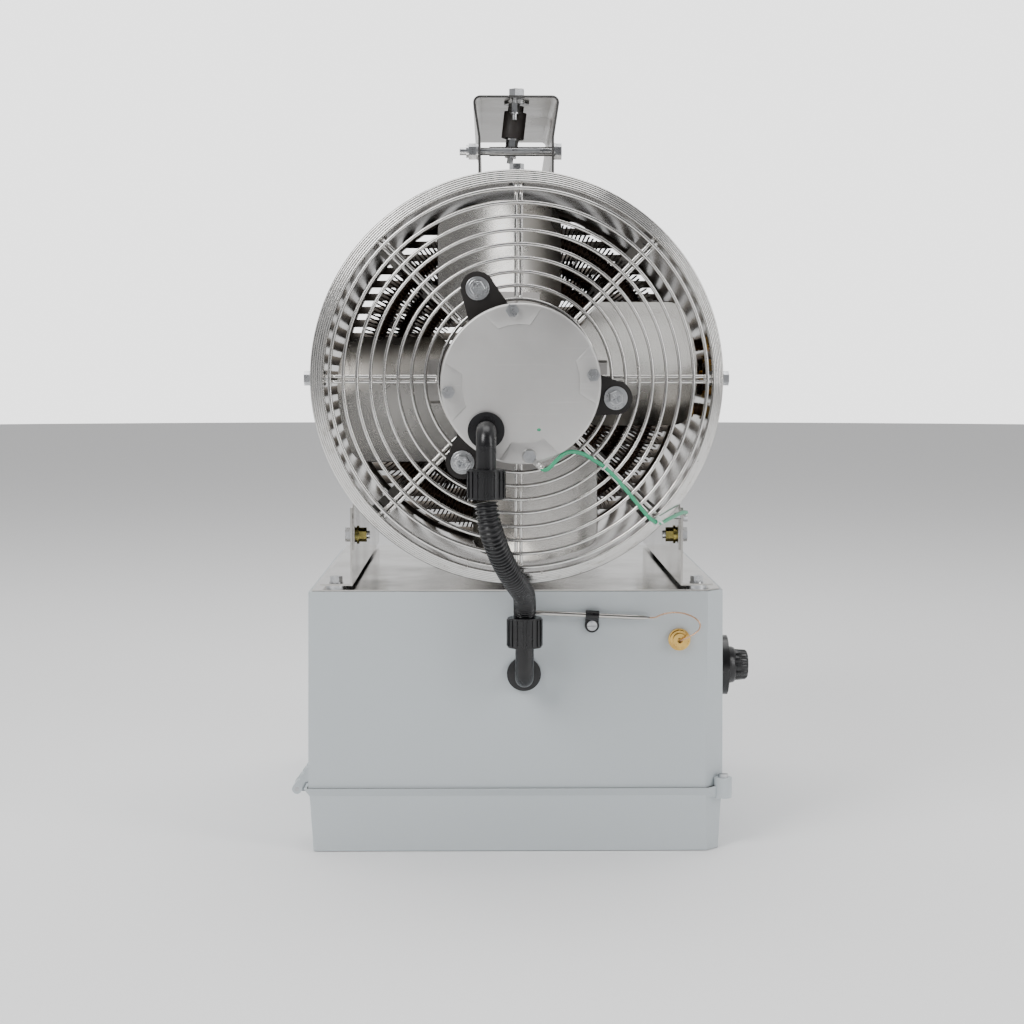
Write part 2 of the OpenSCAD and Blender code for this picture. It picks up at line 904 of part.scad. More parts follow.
// Flat outline of a blade: straight flanks, a round tip and rounded corners
function blade_outline() =
    let (right = blade_w / 2 + blade_shift - blade_corner,
         left = -blade_w / 2 + blade_shift + blade_corner,
         right_z = sqrt(pow(tip_r - blade_corner, 2) - right * right),
         left_z = sqrt(pow(tip_r - blade_corner, 2) - left * left),
         right_a = atan2(right_z, right),
         left_a = atan2(left_z, left))
    concat([[-16, blade_root], [16, blade_root], [right + blade_corner, 52]],
           arc(right, right_z, blade_corner, 0, right_a),
           arc(0, 0, tip_r, right_a + 2, left_a - 2, 14),
           arc(left, left_z, blade_corner, left_a, 180),
           [[left - blade_corner, 52]]);

module impeller_blade(number) {
    color(stainless)
        blade_place(number)
            difference() {
                intersection() {
                    rotate([90, 0, 0]) linear_extrude(60, center = true) polygon(blade_outline());
                    translate([blade_shift, blade_camber_r, 0])
                        difference() {
                            cylinder(r = blade_camber_r + blade_t / 2, h = tip_r + 10);
                            translate([0, 0, -1])
                                cylinder(r = blade_camber_r - blade_t / 2, h = tip_r + 12);
                        }
                }
                for (r = [36, 50])
                    translate([0, 0, r]) rotate([90, 0, 0]) cylinder(r = 2.5, h = 20, center = true);
            }
}

module impeller_blade_1() { impeller_blade(1); }
module impeller_blade_2() { impeller_blade(2); }
module impeller_blade_3() { impeller_blade(3); }
module impeller_blade_4() { impeller_blade(4); }

// ---------------------------------------------------------------- heating elements

// A finned tube bent into an open ring; its bare tails run to the wall on the right
module heating_element(ring_r, y, tail_z) {
    tail_angle = asin(tail_z / ring_r);
    color("#4b3a30")
        intersection() {
            on_drum_axis()
                cylinder(r = drum_r - drum_sheet - 0.1, h = 300, center = true);
            translate([0, y, axis_z])
                rotate([90, 0, 0]) {
                    rotate([0, 0, element_open / 2])
                        rotate_extrude(angle = 360 - element_open) translate([ring_r, 0]) circle(r = fin_r);
                    rotate([0, 0, tail_angle])
                        rotate_extrude(angle = 360 - 2 * tail_angle) translate([ring_r, 0])
                            circle(r = tube_r);
                    for (side = [-1, 1])
                        translate([ring_r * cos(tail_angle) - 0.5, side * tail_z, 0])
                            rotate([0, 90, 0]) {
                                cylinder(r = tube_r, h = drum_r);
                                translate([0, 0, drum_r - 8 - ring_r * cos(tail_angle)])
                                    cylinder(r = tube_r + 1.8, h = 12);
                            }
                }
        }
}

module heating_element_outer() { heating_element(97, element_rear_y, 97 * sin(element_open / 2)); }
module heating_element_inner() { heating_element(68, element_rear_y, 5); }
module heating_element_middle() { heating_element(83, element_front_y, 8); }

// Straps from the drum wall inwards between the two layers of elements
module element_brackets() {
    strap_t = 1.5;
    color("#7d7872")
        for (turn = [45 : 90 : 315])
            translate([0, (element_rear_y + element_front_y) / 2, axis_z])
                rotate([0, -turn, 0]) {
                    translate([56, -strap_t / 2, -6]) cube([drum_r - drum_sheet - 0.8 - 56, strap_t, 12]);
                    translate([drum_r - drum_sheet - 1.8, -strap_t / 2, -6]) cube([1.5, 18, 12]);
                }
}

module limit_thermostat() {
    color(brass_yellow)
        translate([0, 22, axis_z + 2]) {
            rod_x(8, 114, 126.5);
            translate([124.5, -13, -6]) cube([2, 26, 12]);
            for (side = [-1, 1])
                translate([106, -3, side * 4 - 0.4]) cube([9, 6, 0.8]);
        }
}

// ---------------------------------------------------------------- conduit

// A quarter bend with a flange at one end: the axis starts along -Y and turns towards +Z or -Z
module gland_elbow(y, z, reach, run, up) {
    bend = 8;
    direction = up ? 1 : -1;
    rod_y(gland_r, y - 3, y, 0, z);
    rod_y(elbow_tube_r, y - reach + bend, y, 0, z);
    translate([0, y - reach + bend, z + direction * bend])
        rotate([90, 0, 90])
            rotate([0, 0, up ? 180 : 90])
                rotate_extrude(angle = 90) translate([bend, 0]) circle(r = elbow_tube_r);
    translate([0, y - reach, up ? z + bend : z - bend - run])
        cylinder(r = elbow_tube_r, h = run);
}

module motor_gland_elbow() {
    color(black_plastic)
        translate([motor_gland_x, 0, 0])
            gland_elbow(cover_y, motor_gland_z, cover_y - motor_conduit_y, motor_gland_z - 8 - motor_nut_top, false);
}

module box_gland_elbow() {
    seat = rear_wall(box_gland_z - gland_r);
    color(black_plastic)
        translate([box_gland_x, 0, 0]) {
            gland_elbow(seat, box_gland_z, seat - box_conduit_y, box_nut_low - box_gland_z - 8, true);
            rod_y(6, seat - 1, seat + 11, 0, box_gland_z);
            translate([0, seat + 7.5, box_gland_z]) rotate([90, 0, 0]) hexagon(17, 4);
        }
}

// Ribbed coupling nut round the end of the conduit
module coupling_nut(h) {
    ribs = 18;
    union() {
        cylinder(r = 10.6, h = h);
        for (k = [0 : ribs - 1])
            rotate([0, 0, k * 360 / ribs])
                translate([9, -0.8, 1]) cube([2.2, 1.6, h - 2]);
    }
}

module motor_conduit_nut() {
    color(black_plastic)
        translate([motor_gland_x, motor_conduit_y, motor_nut_low])
            coupling_nut(motor_nut_top - motor_nut_low);
}

module box_conduit_nut() {
    color(black_plastic)
        translate([box_gland_x, box_conduit_y, box_nut_low]) coupling_nut(box_nut_top - box_nut_low);
}

module motor_conduit() {
    first = [[motor_gland_x, motor_conduit_y, motor_nut_low]];
    last = [[box_gland_x, box_conduit_y, box_nut_top]];
    color(black_plastic) swept_tube(concat(first, smooth(conduit_route, 3), last), conduit_d / 2, 12);
}

// ---------------------------------------------------------------- sensor

// Lays a rod drawn along X into the clip, sloping down a little to the right
module in_clip() {
    translate([clip_x, bulb_y, bulb_z]) rotate([0, bulb_tilt, 0]) children();
}

// Steel bulb with a tapered tip, lying behind the rear wall
module sensor_bulb() {
    color(stainless)
        in_clip()
            union() {
                rod_x(bulb_r, bulb_from, bulb_to);
                translate([bulb_to, 0, 0])
                    rotate([0, 90, 0]) cylinder(r1 = bulb_r, r2 = 0.7, h = bulb_tip - bulb_to);
            }
}

// Face of the rear wall where the low end of the clip touches it
clip_wall_y = rear_wall(clip_screw_z - clip_end_r);

// P-clip: a loop round the bulb and a tongue with a round end under a screw
module sensor_clip() {
    tongue_top = bulb_z + 1;
    color(black_plastic)
        difference() {
            union() {
                in_clip() rod_x(bulb_r + 1.5, -clip_w / 2, clip_w / 2);
                translate([clip_x - clip_w / 2, clip_wall_y - clip_t, clip_screw_z])
                    cube([clip_w, clip_t, tongue_top - clip_screw_z]);
                rod_y(clip_end_r, clip_wall_y - clip_t, clip_wall_y, clip_x, clip_screw_z);
            }
            in_clip() rod_x(bulb_r, -clip_w, clip_w);
            rod_y(1.7, clip_wall_y - 5, clip_wall_y + 5, clip_x, clip_screw_z);
        }
}

// The slotted screw of the clip and the earth screw on the rail
module case_screws() {
    clip_y = clip_wall_y - clip_t;
    earth_x = rail_x + rail_t + terminal_t;
    color("silver") {
        difference() {
            union() {
                rod_y(3.2, clip_y - 2, clip_y, clip_x, clip_screw_z);
                rod_y(1.6, clip_y - 1, clip_y + 9, clip_x, clip_screw_z);
            }
            translate([clip_x - 4, clip_y - 3, clip_screw_z - 0.4]) cube([8, 2, 0.8]);
        }
        rod_x(3.6, earth_x, earth_x + 2.6, earth_screw_y, earth_screw_z);
        rod_x(2, rail_x - 4, earth_x + 1, earth_screw_y, earth_screw_z);
    }
}

// From the tip of the bulb in a loop to the middle of the gland
module sensor_capillary() {
    first = [clip_x + bulb_tip * cos(bulb_tilt), bulb_y, bulb_z - bulb_tip * sin(bulb_tilt)];
    last = [brass_x, rear_wall(brass_z) - insert_out + 1.5, brass_z];
    color("#b9b4ac") swept_tube(concat([first], smooth(capillary_route, 3), [last]), capillary_r, 8);
}

// Brass gland with a drilled steel insert, through the rear wall
module capillary_gland() {
    seat = rear_wall(brass_z - brass_r);
    color(brass_yellow)
        difference() {
            union() {
                rod_y(brass_r, seat - 2.5, seat, brass_x, brass_z);
                rod_y(brass_r - 1, seat - 4.5, seat - 2, brass_x, brass_z);
                rod_y(4.3, seat - insert_out, seat - 4, brass_x, brass_z);
                rod_y(3.5, seat - 1, seat + 8, brass_x, brass_z);
            }
            rod_y(1.8, seat - insert_out - 1, seat - 2.5, brass_x, brass_z);
        }
}

// ---------------------------------------------------------------- earth wire

module earth_wire() {
    color(earth_green) swept_tube(smooth(wire_route, 3), wire_outer / 2, 8);
}

// Ring terminals on the motor stud and the rail screw, and two cable ties
module earth_wire_fittings() {
    stud = nut_angles[3];
    stud_x = motor_x + nut_r * cos(stud);
    stud_z = motor_z + nut_r * sin(stud);
    rail_face = rail_x + rail_t;
    color("silver") {
        difference() {
            union() {
                rod_y(4.6, cover_y - terminal_t, cover_y, stud_x, stud_z);
                translate([stud_x, cover_y - terminal_t, stud_z])
                    rotate([0, 55, 0]) translate([0, 0, -2]) cube([9, terminal_t, 4]);
            }
            rod_y(2.5, cover_y - 5, cover_y + 1, stud_x, stud_z);
        }
        difference() {
            rod_x(4.2, rail_face, rail_face + terminal_t, earth_screw_y, earth_screw_z);
            rod_x(2, rail_face - 1, rail_face + 2, earth_screw_y, earth_screw_z);
        }
    }
    color("ivory")
        for (i = tie_places) {
            along = wire_route[i + 1] - wire_route[i - 1];
            translate(wire_route[i])
                rotate([0, acos(along[2] / norm(along)), atan2(along[1], along[0])])
                    difference() {
                        cylinder(r = wire_outer / 2 + 1.1, h = 1.8, center = true);
                        cylinder(r = wire_outer / 2 + 0.3, h = 3, center = true);
                    }
        }
}

// ---------------------------------------------------------------- switches

// Thermostat or switch body inside the wall, its bush through the wall and its bezel outside
module wall_control(y, z, depth, h) {
    wall_x = right_wall(z - bezel_r);
    difference() {
        union() {
            translate([wall_x - wall - 0.7 - depth, y - h / 2, z - h / 2]) cube([depth, h, h]);
            rod_x(5, wall_x - wall - 1, wall_x + 1, y, z);
            rod_x(bezel_r, wall_x, wall_x + bezel_h, y, z);
        }
        rod_x(spindle_r + pin_gap, wall_x - wall - 12, wall_x + bezel_h + 1, y, z);
    }
}

// A knob with a round skirt, a tapered grip and its spindle
module control_knob(y, z) {
    wall_x = right_wall(z - bezel_r);
    skirt_x = wall_x + bezel_h + 0.35;
    grip_x = skirt_x + 4.6;
    top_x = skirt_x + 13.3;
    difference() {
        union() {
            translate([skirt_x, y, z]) rotate([0, 90, 0])
                cylinder(r1 = 12.5, r2 = 11.4, h = grip_x - skirt_x);
            translate([grip_x - 1, y, z]) rotate([0, 90, 0])
                cylinder(r1 = 10.8, r2 = 9.7, h = top_x - grip_x + 1);
            rod_x(spindle_r, wall_x - wall - 10, grip_x, y, z);
        }
        // Pointer groove on the end face
        translate([top_x - 0.8, y - 0.6, z]) cube([2, 1.2, 20]);
    }
}

module thermostat_body() { color(black_plastic) wall_control(knob_y, knob_z, 38, 42); }
module thermostat_knob() { color(black_plastic) control_knob(knob_y, knob_z); }
module selector_switch() { color(black_plastic) wall_control(selector_y, selector_z, 46, 40); }
module selector_knob() { color(black_plastic) control_knob(selector_y, selector_z); }

// ---------------------------------------------------------------- inside the box

// Six-way clamp strip hanging from the ceiling of the box
module terminal_block() {
    ways = 6;
    pitch = 12;
    ceiling = box_top - wall;
    color("ivory") translate([-60, 20, ceiling - 6]) cube([ways * pitch + 8, 24, 6]);
    color("ivory")
        for (k = [0 : ways - 1])
            translate([-56 + k * pitch + 1, 24, ceiling - 16])
                difference() {
                    cube([pitch - 2, 16, 11]);
                    translate([5, 4, -1]) cylinder(r = 2, h = 5);
                    translate([5, 12, -1]) cylinder(r = 2, h = 5);
                }
}

// Gland for the supply cable in the front wall, with its nut inside
module supply_gland() {
    nut_af = 22;
    seat = -rear_wall(supply_z - nut_af / 2 / cos(30));
    color(black_plastic)
        translate([supply_x, 0, supply_z])
            difference() {
                union() {
                    translate([0, seat + 4, 0]) rotate([90, 0, 0]) hexagon(nut_af, 4);
                    rod_y(9.5, seat + 3, seat + 18);
                    rod_y(8, seat - 12, seat + 1);
                    translate([0, seat - 3.8, 0]) rotate([90, 0, 0]) hexagon(nut_af, 4);
                }
                rod_y(5, seat - 20, seat + 30);
            }
}

// ---------------------------------------------------------------- hanger

// Outline of the hanger channel, from leg to leg, at a distance inside its outer face
function hanger_outline(inset) =
    let (corner = hanger_w / 2 - hanger_corner_r, z = hanger_top - hanger_corner_r,
         r = hanger_corner_r - inset, waist = hanger_leg_w / 2 - inset)
    concat([[waist, drum_top_z], [waist, hanger_waist_z]], arc(corner, z, r, -5, 90),
           arc(-corner, z, r, 90, 185), [[-waist, hanger_waist_z], [-waist, drum_top_z]]);

module hanger_channel() {
    length = hanger_front - hanger_rear;
    leg_x = hanger_leg_w / 2;
    color(stainless)
        difference() {
            translate([0, hanger_front, 0])
                rotate([90, 0, 0])
                    linear_extrude(length)
                        difference() {
                            polygon(hanger_outline(0));
                            polygon(concat([[hanger_t - hanger_leg_w / 2, drum_top_z - 5],
                                            [hanger_leg_w / 2 - hanger_t, drum_top_z - 5]],
                                           hanger_outline(hanger_t)));
                        }
            // The drum, so the legs stand on its curved top
            rod_y(drum_r, hanger_rear - 5, hanger_front + 5, 0, axis_z);
            // Windows between the four feet
            translate([-50, hanger_rear + hanger_foot, drum_top_z - 10])
                cube([100, length - 2 * hanger_foot, hanger_window_z - drum_top_z + 10]);
            rod_x(cross_bolt_r + 0.1, -leg_x - 5, leg_x + 5, hanger_bolt_y, hanger_bolt_z);
            translate([bobbin_x, bobbin_y, hanger_top - 5]) cylinder(r = 3, h = 10);
        }
}

// Bolt across the channel with a spacer tube and a locking nut
module hanger_cross_bolt() {
    leg_x = hanger_leg_w / 2;
    inside_x = leg_x - hanger_t;
    color("silver")
        union() {
            rod_x(cross_bolt_r, -leg_x - 12, leg_x + 1, hanger_bolt_y, hanger_bolt_z);
            rod_x(3, -inside_x + 5.5, inside_x, hanger_bolt_y, hanger_bolt_z);
            rod_x(5.2, leg_x, leg_x + 1.2, hanger_bolt_y, hanger_bolt_z);
            translate([leg_x + 1.2, hanger_bolt_y, hanger_bolt_z]) rotate([0, 90, 0]) hexagon(9, 3.9);
            rod_x(5.2, -leg_x - 1.2, -leg_x, hanger_bolt_y, hanger_bolt_z);
            translate([-leg_x - 1.2, hanger_bolt_y, hanger_bolt_z]) rotate([0, -90, 0]) hexagon(9, 5);
            rod_x(4, -leg_x - 7.8, -leg_x - 6, hanger_bolt_y, hanger_bolt_z);
        }
}

// Puts a shape drawn downwards from the channel's ceiling on the leaning axis of the mount
module on_mount_axis() {
    translate([bobbin_x, bobbin_y, hanger_top - hanger_t]) rotate([0, bobbin_tilt, 0]) children();
}

// Rubber mount under the channel top, with a narrower sleeve above it
module hanger_bobbin() {
    sleeve_from = 2.4;
    color("#1f1a18")
        on_mount_axis()
            difference() {
                union() {
                    translate([0, 0, -bobbin_to]) cylinder(r = 7.3, h = bobbin_to - bobbin_from);
                    translate([0, 0, -bobbin_from - 1])
                        cylinder(r = 5.1, h = bobbin_from + 1 - sleeve_from);
                }
                translate([0, 0, -bobbin_to - 1]) cylinder(r = bobbin_bolt_r + 0.05, h = 50);
            }
}

// Bolt through the channel top and the rubber mount, with washers and two lower nuts,
// and a small keeper stud with its nut beside it
module hanger_top_bolt() {
    ceiling = hanger_top - hanger_t;
    color("silver") {
        union() {
            translate([bobbin_x, bobbin_y, hanger_top]) cylinder(r = 7.2, h = 1.4);
            translate([bobbin_x, bobbin_y, hanger_top + 1.4]) rotate([0, 0, 20]) hexagon(9, 5.6);
            translate([bobbin_x, bobbin_y, ceiling - 1.5]) cylinder(r = 8.1, h = 1.5);
            on_mount_axis() {
                translate([0, 0, -bobbin_to - 16]) cylinder(r = bobbin_bolt_r, h = bobbin_to + 18);
                translate([0, 0, -bobbin_to - 1]) cylinder(r = 4.5, h = 1);
                translate([0, 0, -bobbin_to - 6.5]) hexagon(7, 5.6);
                translate([0, 0, -bobbin_to - 12.5]) rotate([0, 0, 25]) hexagon(7, 5.6);
            }
        }
        translate([keeper_x, keeper_y, 0]) {
            translate([0, 0, ceiling - 12.5]) cylinder(r = 1.7, h = 12.5);
            translate([0, 0, ceiling - 8]) hexagon(6, 6);
            translate([0, 0, ceiling - 8.8]) cylinder(r = 3.1, h = 0.8);
        }
    }
}

control_box_body();
control_box_cover();
cover_gasket();
cover_hinge_pins();
cover_screws();
top_plate();
rail_left();
rail_right();
rail_spacers();
rail_bolts();
drum_ears();
ear_bolts();
ear_nuts();
drum_shell();
front_grille();
guard_face_rings();
guard_side_rings();
guard_spokes();
guard_bolts();
motor_can();
motor_end_cover();
motor_cover_nuts();
motor_bracket();
bracket_fixings();
motor_stator();
motor_rotor();
motor_bearings();
motor_shaft();
impeller_spider();
impeller_blade_1();
impeller_blade_2();
impeller_blade_3();
impeller_blade_4();
heating_element_outer();
heating_element_middle();
heating_element_inner();
element_brackets();
limit_thermostat();
motor_gland_elbow();
motor_conduit_nut();
motor_conduit();
box_conduit_nut();
box_gland_elbow();
sensor_bulb();
sensor_clip();
case_screws();
sensor_capillary();
capillary_gland();
earth_wire();
earth_wire_fittings();
thermostat_body();
thermostat_knob();
selector_switch();
selector_knob();
terminal_block();
supply_gland();
hanger_channel();
hanger_cross_bolt();
hanger_bobbin();
hanger_top_bolt();
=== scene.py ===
"""Looks of an electric greenhouse fan heater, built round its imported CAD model.

Lengths are in metres and the axes are the model's own: X across, Y along the air
flow, Z up, with the origin under the control box.
"""
import math

import bmesh
import bpy
from mathutils import Matrix, Vector


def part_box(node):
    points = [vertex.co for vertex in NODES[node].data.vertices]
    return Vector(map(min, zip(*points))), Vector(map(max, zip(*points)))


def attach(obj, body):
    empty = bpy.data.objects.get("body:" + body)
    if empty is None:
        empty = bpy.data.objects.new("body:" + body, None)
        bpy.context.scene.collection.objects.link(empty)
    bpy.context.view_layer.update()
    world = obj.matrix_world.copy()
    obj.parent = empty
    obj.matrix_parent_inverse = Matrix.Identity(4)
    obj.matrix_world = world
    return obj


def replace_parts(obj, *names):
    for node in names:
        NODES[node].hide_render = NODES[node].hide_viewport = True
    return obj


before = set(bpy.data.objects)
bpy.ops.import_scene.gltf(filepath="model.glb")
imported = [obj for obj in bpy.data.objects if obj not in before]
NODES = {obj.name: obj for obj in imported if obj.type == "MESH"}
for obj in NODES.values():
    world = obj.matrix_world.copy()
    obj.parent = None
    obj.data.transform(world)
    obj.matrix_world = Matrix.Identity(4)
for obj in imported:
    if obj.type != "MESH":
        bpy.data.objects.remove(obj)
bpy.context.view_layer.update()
MM = 0.001


# ---------------------------------------------------------------- camera and light

def add_camera():
    """The camera looks along the air flow from the intake side, a little above the drum axis."""
    data = bpy.data.cameras.new("camera")
    data.lens = 67.5
    data.sensor_width = 36
    data.clip_start = 0.05
    camera = bpy.data.objects.new("camera", data)
    camera.location = (-0.0176, -1.363, 0.311)
    down, right = math.radians(4.41), math.radians(0.69)
    camera.rotation_euler = (math.pi / 2 - down, 0, -right)
    bpy.context.scene.collection.objects.link(camera)
    bpy.context.scene.camera = camera


def add_area_light(name, place, target, size, power, color=(1, 1, 1)):
    """A soft square light at a place, turned to a target."""
    data = bpy.data.lights.new(name, "AREA")
    data.shape = "RECTANGLE"
    data.size, data.size_y = size
    data.energy = power
    data.color = color
    light = bpy.data.objects.new(name, data)
    light.location = place
    light.rotation_euler = (Vector(target) - Vector(place)).to_track_quat("-Z", "Y").to_euler()
    bpy.context.scene.collection.objects.link(light)


def add_world():
    """Pale where it is seen directly; what the metal reflects is bright beyond the object and dark behind
    the camera."""
    world = bpy.data.worlds.new("studio")
    bpy.context.scene.world = world
    world.use_nodes = True
    tree = world.node_tree
    nodes = tree.nodes
    where = nodes.new("ShaderNodeTexCoord")
    split = nodes.new("ShaderNodeSeparateXYZ")
    ramp = nodes.new("ShaderNodeValToRGB")
    ramp.color_ramp.interpolation = "EASE"
    stops = ramp.color_ramp.elements
    stops[0].position, stops[0].color = 0.0, (0.10, 0.10, 0.105, 1)
    stops[1].position, stops[1].color = 0.75, (1, 1, 1, 1)
    middle = stops.new(0.40)
    middle.color = (0.30, 0.30, 0.305, 1)
    to_unit = nodes.new("ShaderNodeMapRange")
    to_unit.inputs["From Min"].default_value = -1
    to_unit.inputs["From Max"].default_value = 1
    tree.links.new(where.outputs["Generated"], split.inputs[0])
    tree.links.new(split.outputs["Y"], to_unit.inputs["Value"])
    tree.links.new(to_unit.outputs["Result"], ramp.inputs["Fac"])
    room = nodes["Background"]
    room.inputs["Strength"].default_value = 1.0
    tree.links.new(ramp.outputs["Color"], room.inputs["Color"])
    backdrop = nodes.new("ShaderNodeBackground")
    backdrop.inputs["Strength"].default_value = 3.2
    path = nodes.new("ShaderNodeLightPath")
    choose = nodes.new("ShaderNodeMixShader")
    tree.links.new(path.outputs["Is Camera Ray"], choose.inputs[0])
    tree.links.new(room.outputs[0], choose.inputs[1])
    tree.links.new(backdrop.outputs[0], choose.inputs[2])
    tree.links.new(choose.outputs[0], nodes["World Output"].inputs["Surface"])


def add_floor():
    """A pale floor, wide enough to run out of every view."""
    bpy.ops.mesh.primitive_circle_add(vertices=96, radius=9, fill_type="NGON", location=(0, 0, -0.0005))
    floor = bpy.context.object
    floor.name = "floor"
    floor.data.materials.append(plain("floor_white", (0.93, 0.93, 0.93), roughness=0.9))


# ---------------------------------------------------------------- materials

class Look:
    """A Principled material, with helpers that add procedural variation to it."""

    def __init__(self, name, color, metallic=0.0, roughness=0.5, **constants):
        self.material = bpy.data.materials.new(name)
        self.material.use_nodes = True
        self.tree = self.material.node_tree
        self.shader = self.tree.nodes["Principled BSDF"]
        self.shader.inputs["Base Color"].default_value = (*color, 1)
        self.shader.inputs["Metallic"].default_value = metallic
        self.shader.inputs["Roughness"].default_value = roughness
        for socket, value in constants.items():
            self.shader.inputs[socket.replace("_", " ").title()].default_value = value
        self.place = self.tree.nodes.new("ShaderNodeTexCoord").outputs["Object"]
        self.height = None

    def node(self, kind, **settings):
        made = self.tree.nodes.new("ShaderNode" + kind)
        for key, value in settings.items():
            setattr(made, key, value)
        return made

    def link(self, source, target):
        self.tree.links.new(source, target)

    def stretched(self, stretch):
        """Object coordinates, scaled along each axis."""
        mapping = self.node("Mapping")
        mapping.inputs["Scale"].default_value = stretch
        self.link(self.place, mapping.inputs["Vector"])
        return mapping.outputs["Vector"]

    def noise(self, scale, detail=4.0, stretch=(1, 1, 1), rough=0.55):
        noise = self.node("TexNoise")
        noise.inputs["Scale"].default_value = scale
        noise.inputs["Detail"].default_value = detail
        noise.inputs["Roughness"].default_value = rough
        self.link(self.stretched(stretch), noise.inputs["Vector"])
        return noise.outputs["Fac"]

    def levels(self, value, low, high, to_low=0.0, to_high=1.0):
        """Maps a value from one range to another, clamped."""
        ranged = self.node("MapRange")
        ranged.inputs["From Min"].default_value = low
        ranged.inputs["From Max"].default_value = high
        ranged.inputs["To Min"].default_value = to_low
        ranged.inputs["To Max"].default_value = to_high
        self.link(value, ranged.inputs["Value"])
        return ranged.outputs["Result"]

    def math(self, operation, first, second):
        made = self.node("Math", operation=operation)
        for socket, value in zip(made.inputs, (first, second)):
            if isinstance(value, (int, float)):
                socket.default_value = value
            else:
                self.link(value, socket)
        return made.outputs[0]

    def tint(self, factor, color, blend="MIX"):
        """Mixes a colour over the base colour by a factor."""
        mix = self.node("Mix", data_type="RGBA", blend_type=blend)
        target = self.shader.inputs["Base Color"]
        mix_a, mix_b = mix.inputs[6], mix.inputs[7]
        if target.is_linked:
            self.link(target.links[0].from_socket, mix_a)
        else:
            mix_a.default_value = target.default_value
        mix_b.default_value = (*color, 1)
        self.link(factor, mix.inputs[0])
        self.link(mix.outputs[2], target)
        return self

    def rough(self, value, low, high):
        """Lets a noise value drive the roughness between two limits."""
        self.link(self.levels(value, 0.3, 0.7, low, high), self.shader.inputs["Roughness"])
        return self

    def bump(self, value, strength, distance):
        bump = self.node("Bump")
        bump.inputs["Strength"].default_value = strength
        bump.inputs["Distance"].default_value = distance
        self.link(value, bump.inputs["Height"])
        if self.height is not None:
            self.link(self.height, bump.inputs["Normal"])
        self.height = bump.outputs["Normal"]
        self.link(self.height, self.shader.inputs["Normal"])
        return self

    def axis(self, letter):
        split = self.node("SeparateXYZ")
        self.link(self.place, split.inputs[0])
        return split.outputs[letter]


def plain(name, color, roughness=0.5, metallic=0.0):
    look = Look(name, color, metallic=metallic, roughness=roughness)
    look.rough(look.noise(30), roughness * 0.92, min(1.0, roughness * 1.08))
    return look.material


def polycarbonate():
    """Moulded blue-grey plastic: satin, with a fine spark texture and slow tone changes."""
    look = Look("polycarbonate", (0.545, 0.585, 0.605), roughness=0.42)
    slow = look.noise(5, detail=2)
    look.tint(look.levels(slow, 0.35, 0.65, 0, 0.5), (0.515, 0.56, 0.58))
    scuffs = look.noise(60, detail=8, stretch=(1, 1, 0.15))
    look.tint(look.levels(scuffs, 0.62, 0.72, 0, 0.25), (0.61, 0.64, 0.65))
    look.rough(look.noise(14), 0.36, 0.52)
    look.bump(look.noise(1400, detail=2), 0.10, 0.00012)
    look.bump(slow, 0.25, 0.0012)
    return look.material


def stainless(name, color=(0.56, 0.545, 0.52), low=0.10, high=0.24, grain=(1, 0.02, 1), strength=0.12):
    """Rolled stainless sheet: mirror-like, with fine grain lines and handling marks."""
    look = Look(name, color, metallic=1.0, roughness=low)
    lines = look.noise(900, detail=3, stretch=grain)
    marks = look.noise(18, detail=5)
    look.rough(marks, low, high)
    look.tint(look.levels(marks, 0.40, 0.72, 0, 0.35), tuple(0.78 * c for c in color))
    look.bump(lines, strength, 0.00006)
    look.bump(look.noise(7, detail=2), 0.35, 0.0012)
    return look


def wire_steel():
    look = Look("polished_wire", (0.66, 0.65, 0.63), metallic=1.0, roughness=0.16)
    stains = look.noise(120, detail=4)
    look.tint(look.levels(stains, 0.5, 0.75, 0, 0.6), (0.42, 0.39, 0.35))
    look.rough(stains, 0.12, 0.30)
    look.bump(look.noise(900, detail=2), 0.10, 0.0001)
    return look.material


def zinc(name="zinc_steel", color=(0.62, 0.63, 0.64), patches=(0.40, 0.41, 0.43)):
    """Plated fasteners: bright, with duller patches."""
    look = Look(name, color, metallic=1.0, roughness=0.25)
    cloud = look.noise(160, detail=5)
    look.tint(look.levels(cloud, 0.42, 0.68, 0, 0.8), patches)
    look.rough(cloud, 0.20, 0.42)
    look.bump(look.noise(1500, detail=2), 0.12, 0.0001)
    return look.material


def pressed_aluminium():
    """Matt pressed aluminium with faint drawn lines, pits and a few smears."""
    look = Look("pressed_aluminium", (0.60, 0.59, 0.575), metallic=0.85, roughness=0.45)
    lines = look.noise(420, detail=4, stretch=(0.05, 1, 1))
    cloud = look.noise(22, detail=6)
    look.tint(look.levels(cloud, 0.38, 0.66, 0, 0.45), (0.47, 0.465, 0.46))
    look.tint(look.levels(lines, 0.60, 0.75, 0, 0.3), (0.74, 0.73, 0.71))
    look.rough(cloud, 0.38, 0.56)
    look.bump(lines, 0.12, 0.0001)
    look.bump(look.noise(240, detail=5), 0.12, 0.0002)
    return look.material


def dark_steel(name, color, roughness=0.4, metallic=0.7):
    look = Look(name, color, metallic=metallic, roughness=roughness)
    cloud = look.noise(40, detail=6)
    look.tint(look.levels(cloud, 0.4, 0.7, 0, 0.6), tuple(1.6 * c for c in color))
    look.rough(cloud, roughness * 0.8, roughness * 1.3)
    look.bump(look.noise(700, detail=3), 0.15, 0.0001)
    return look.material


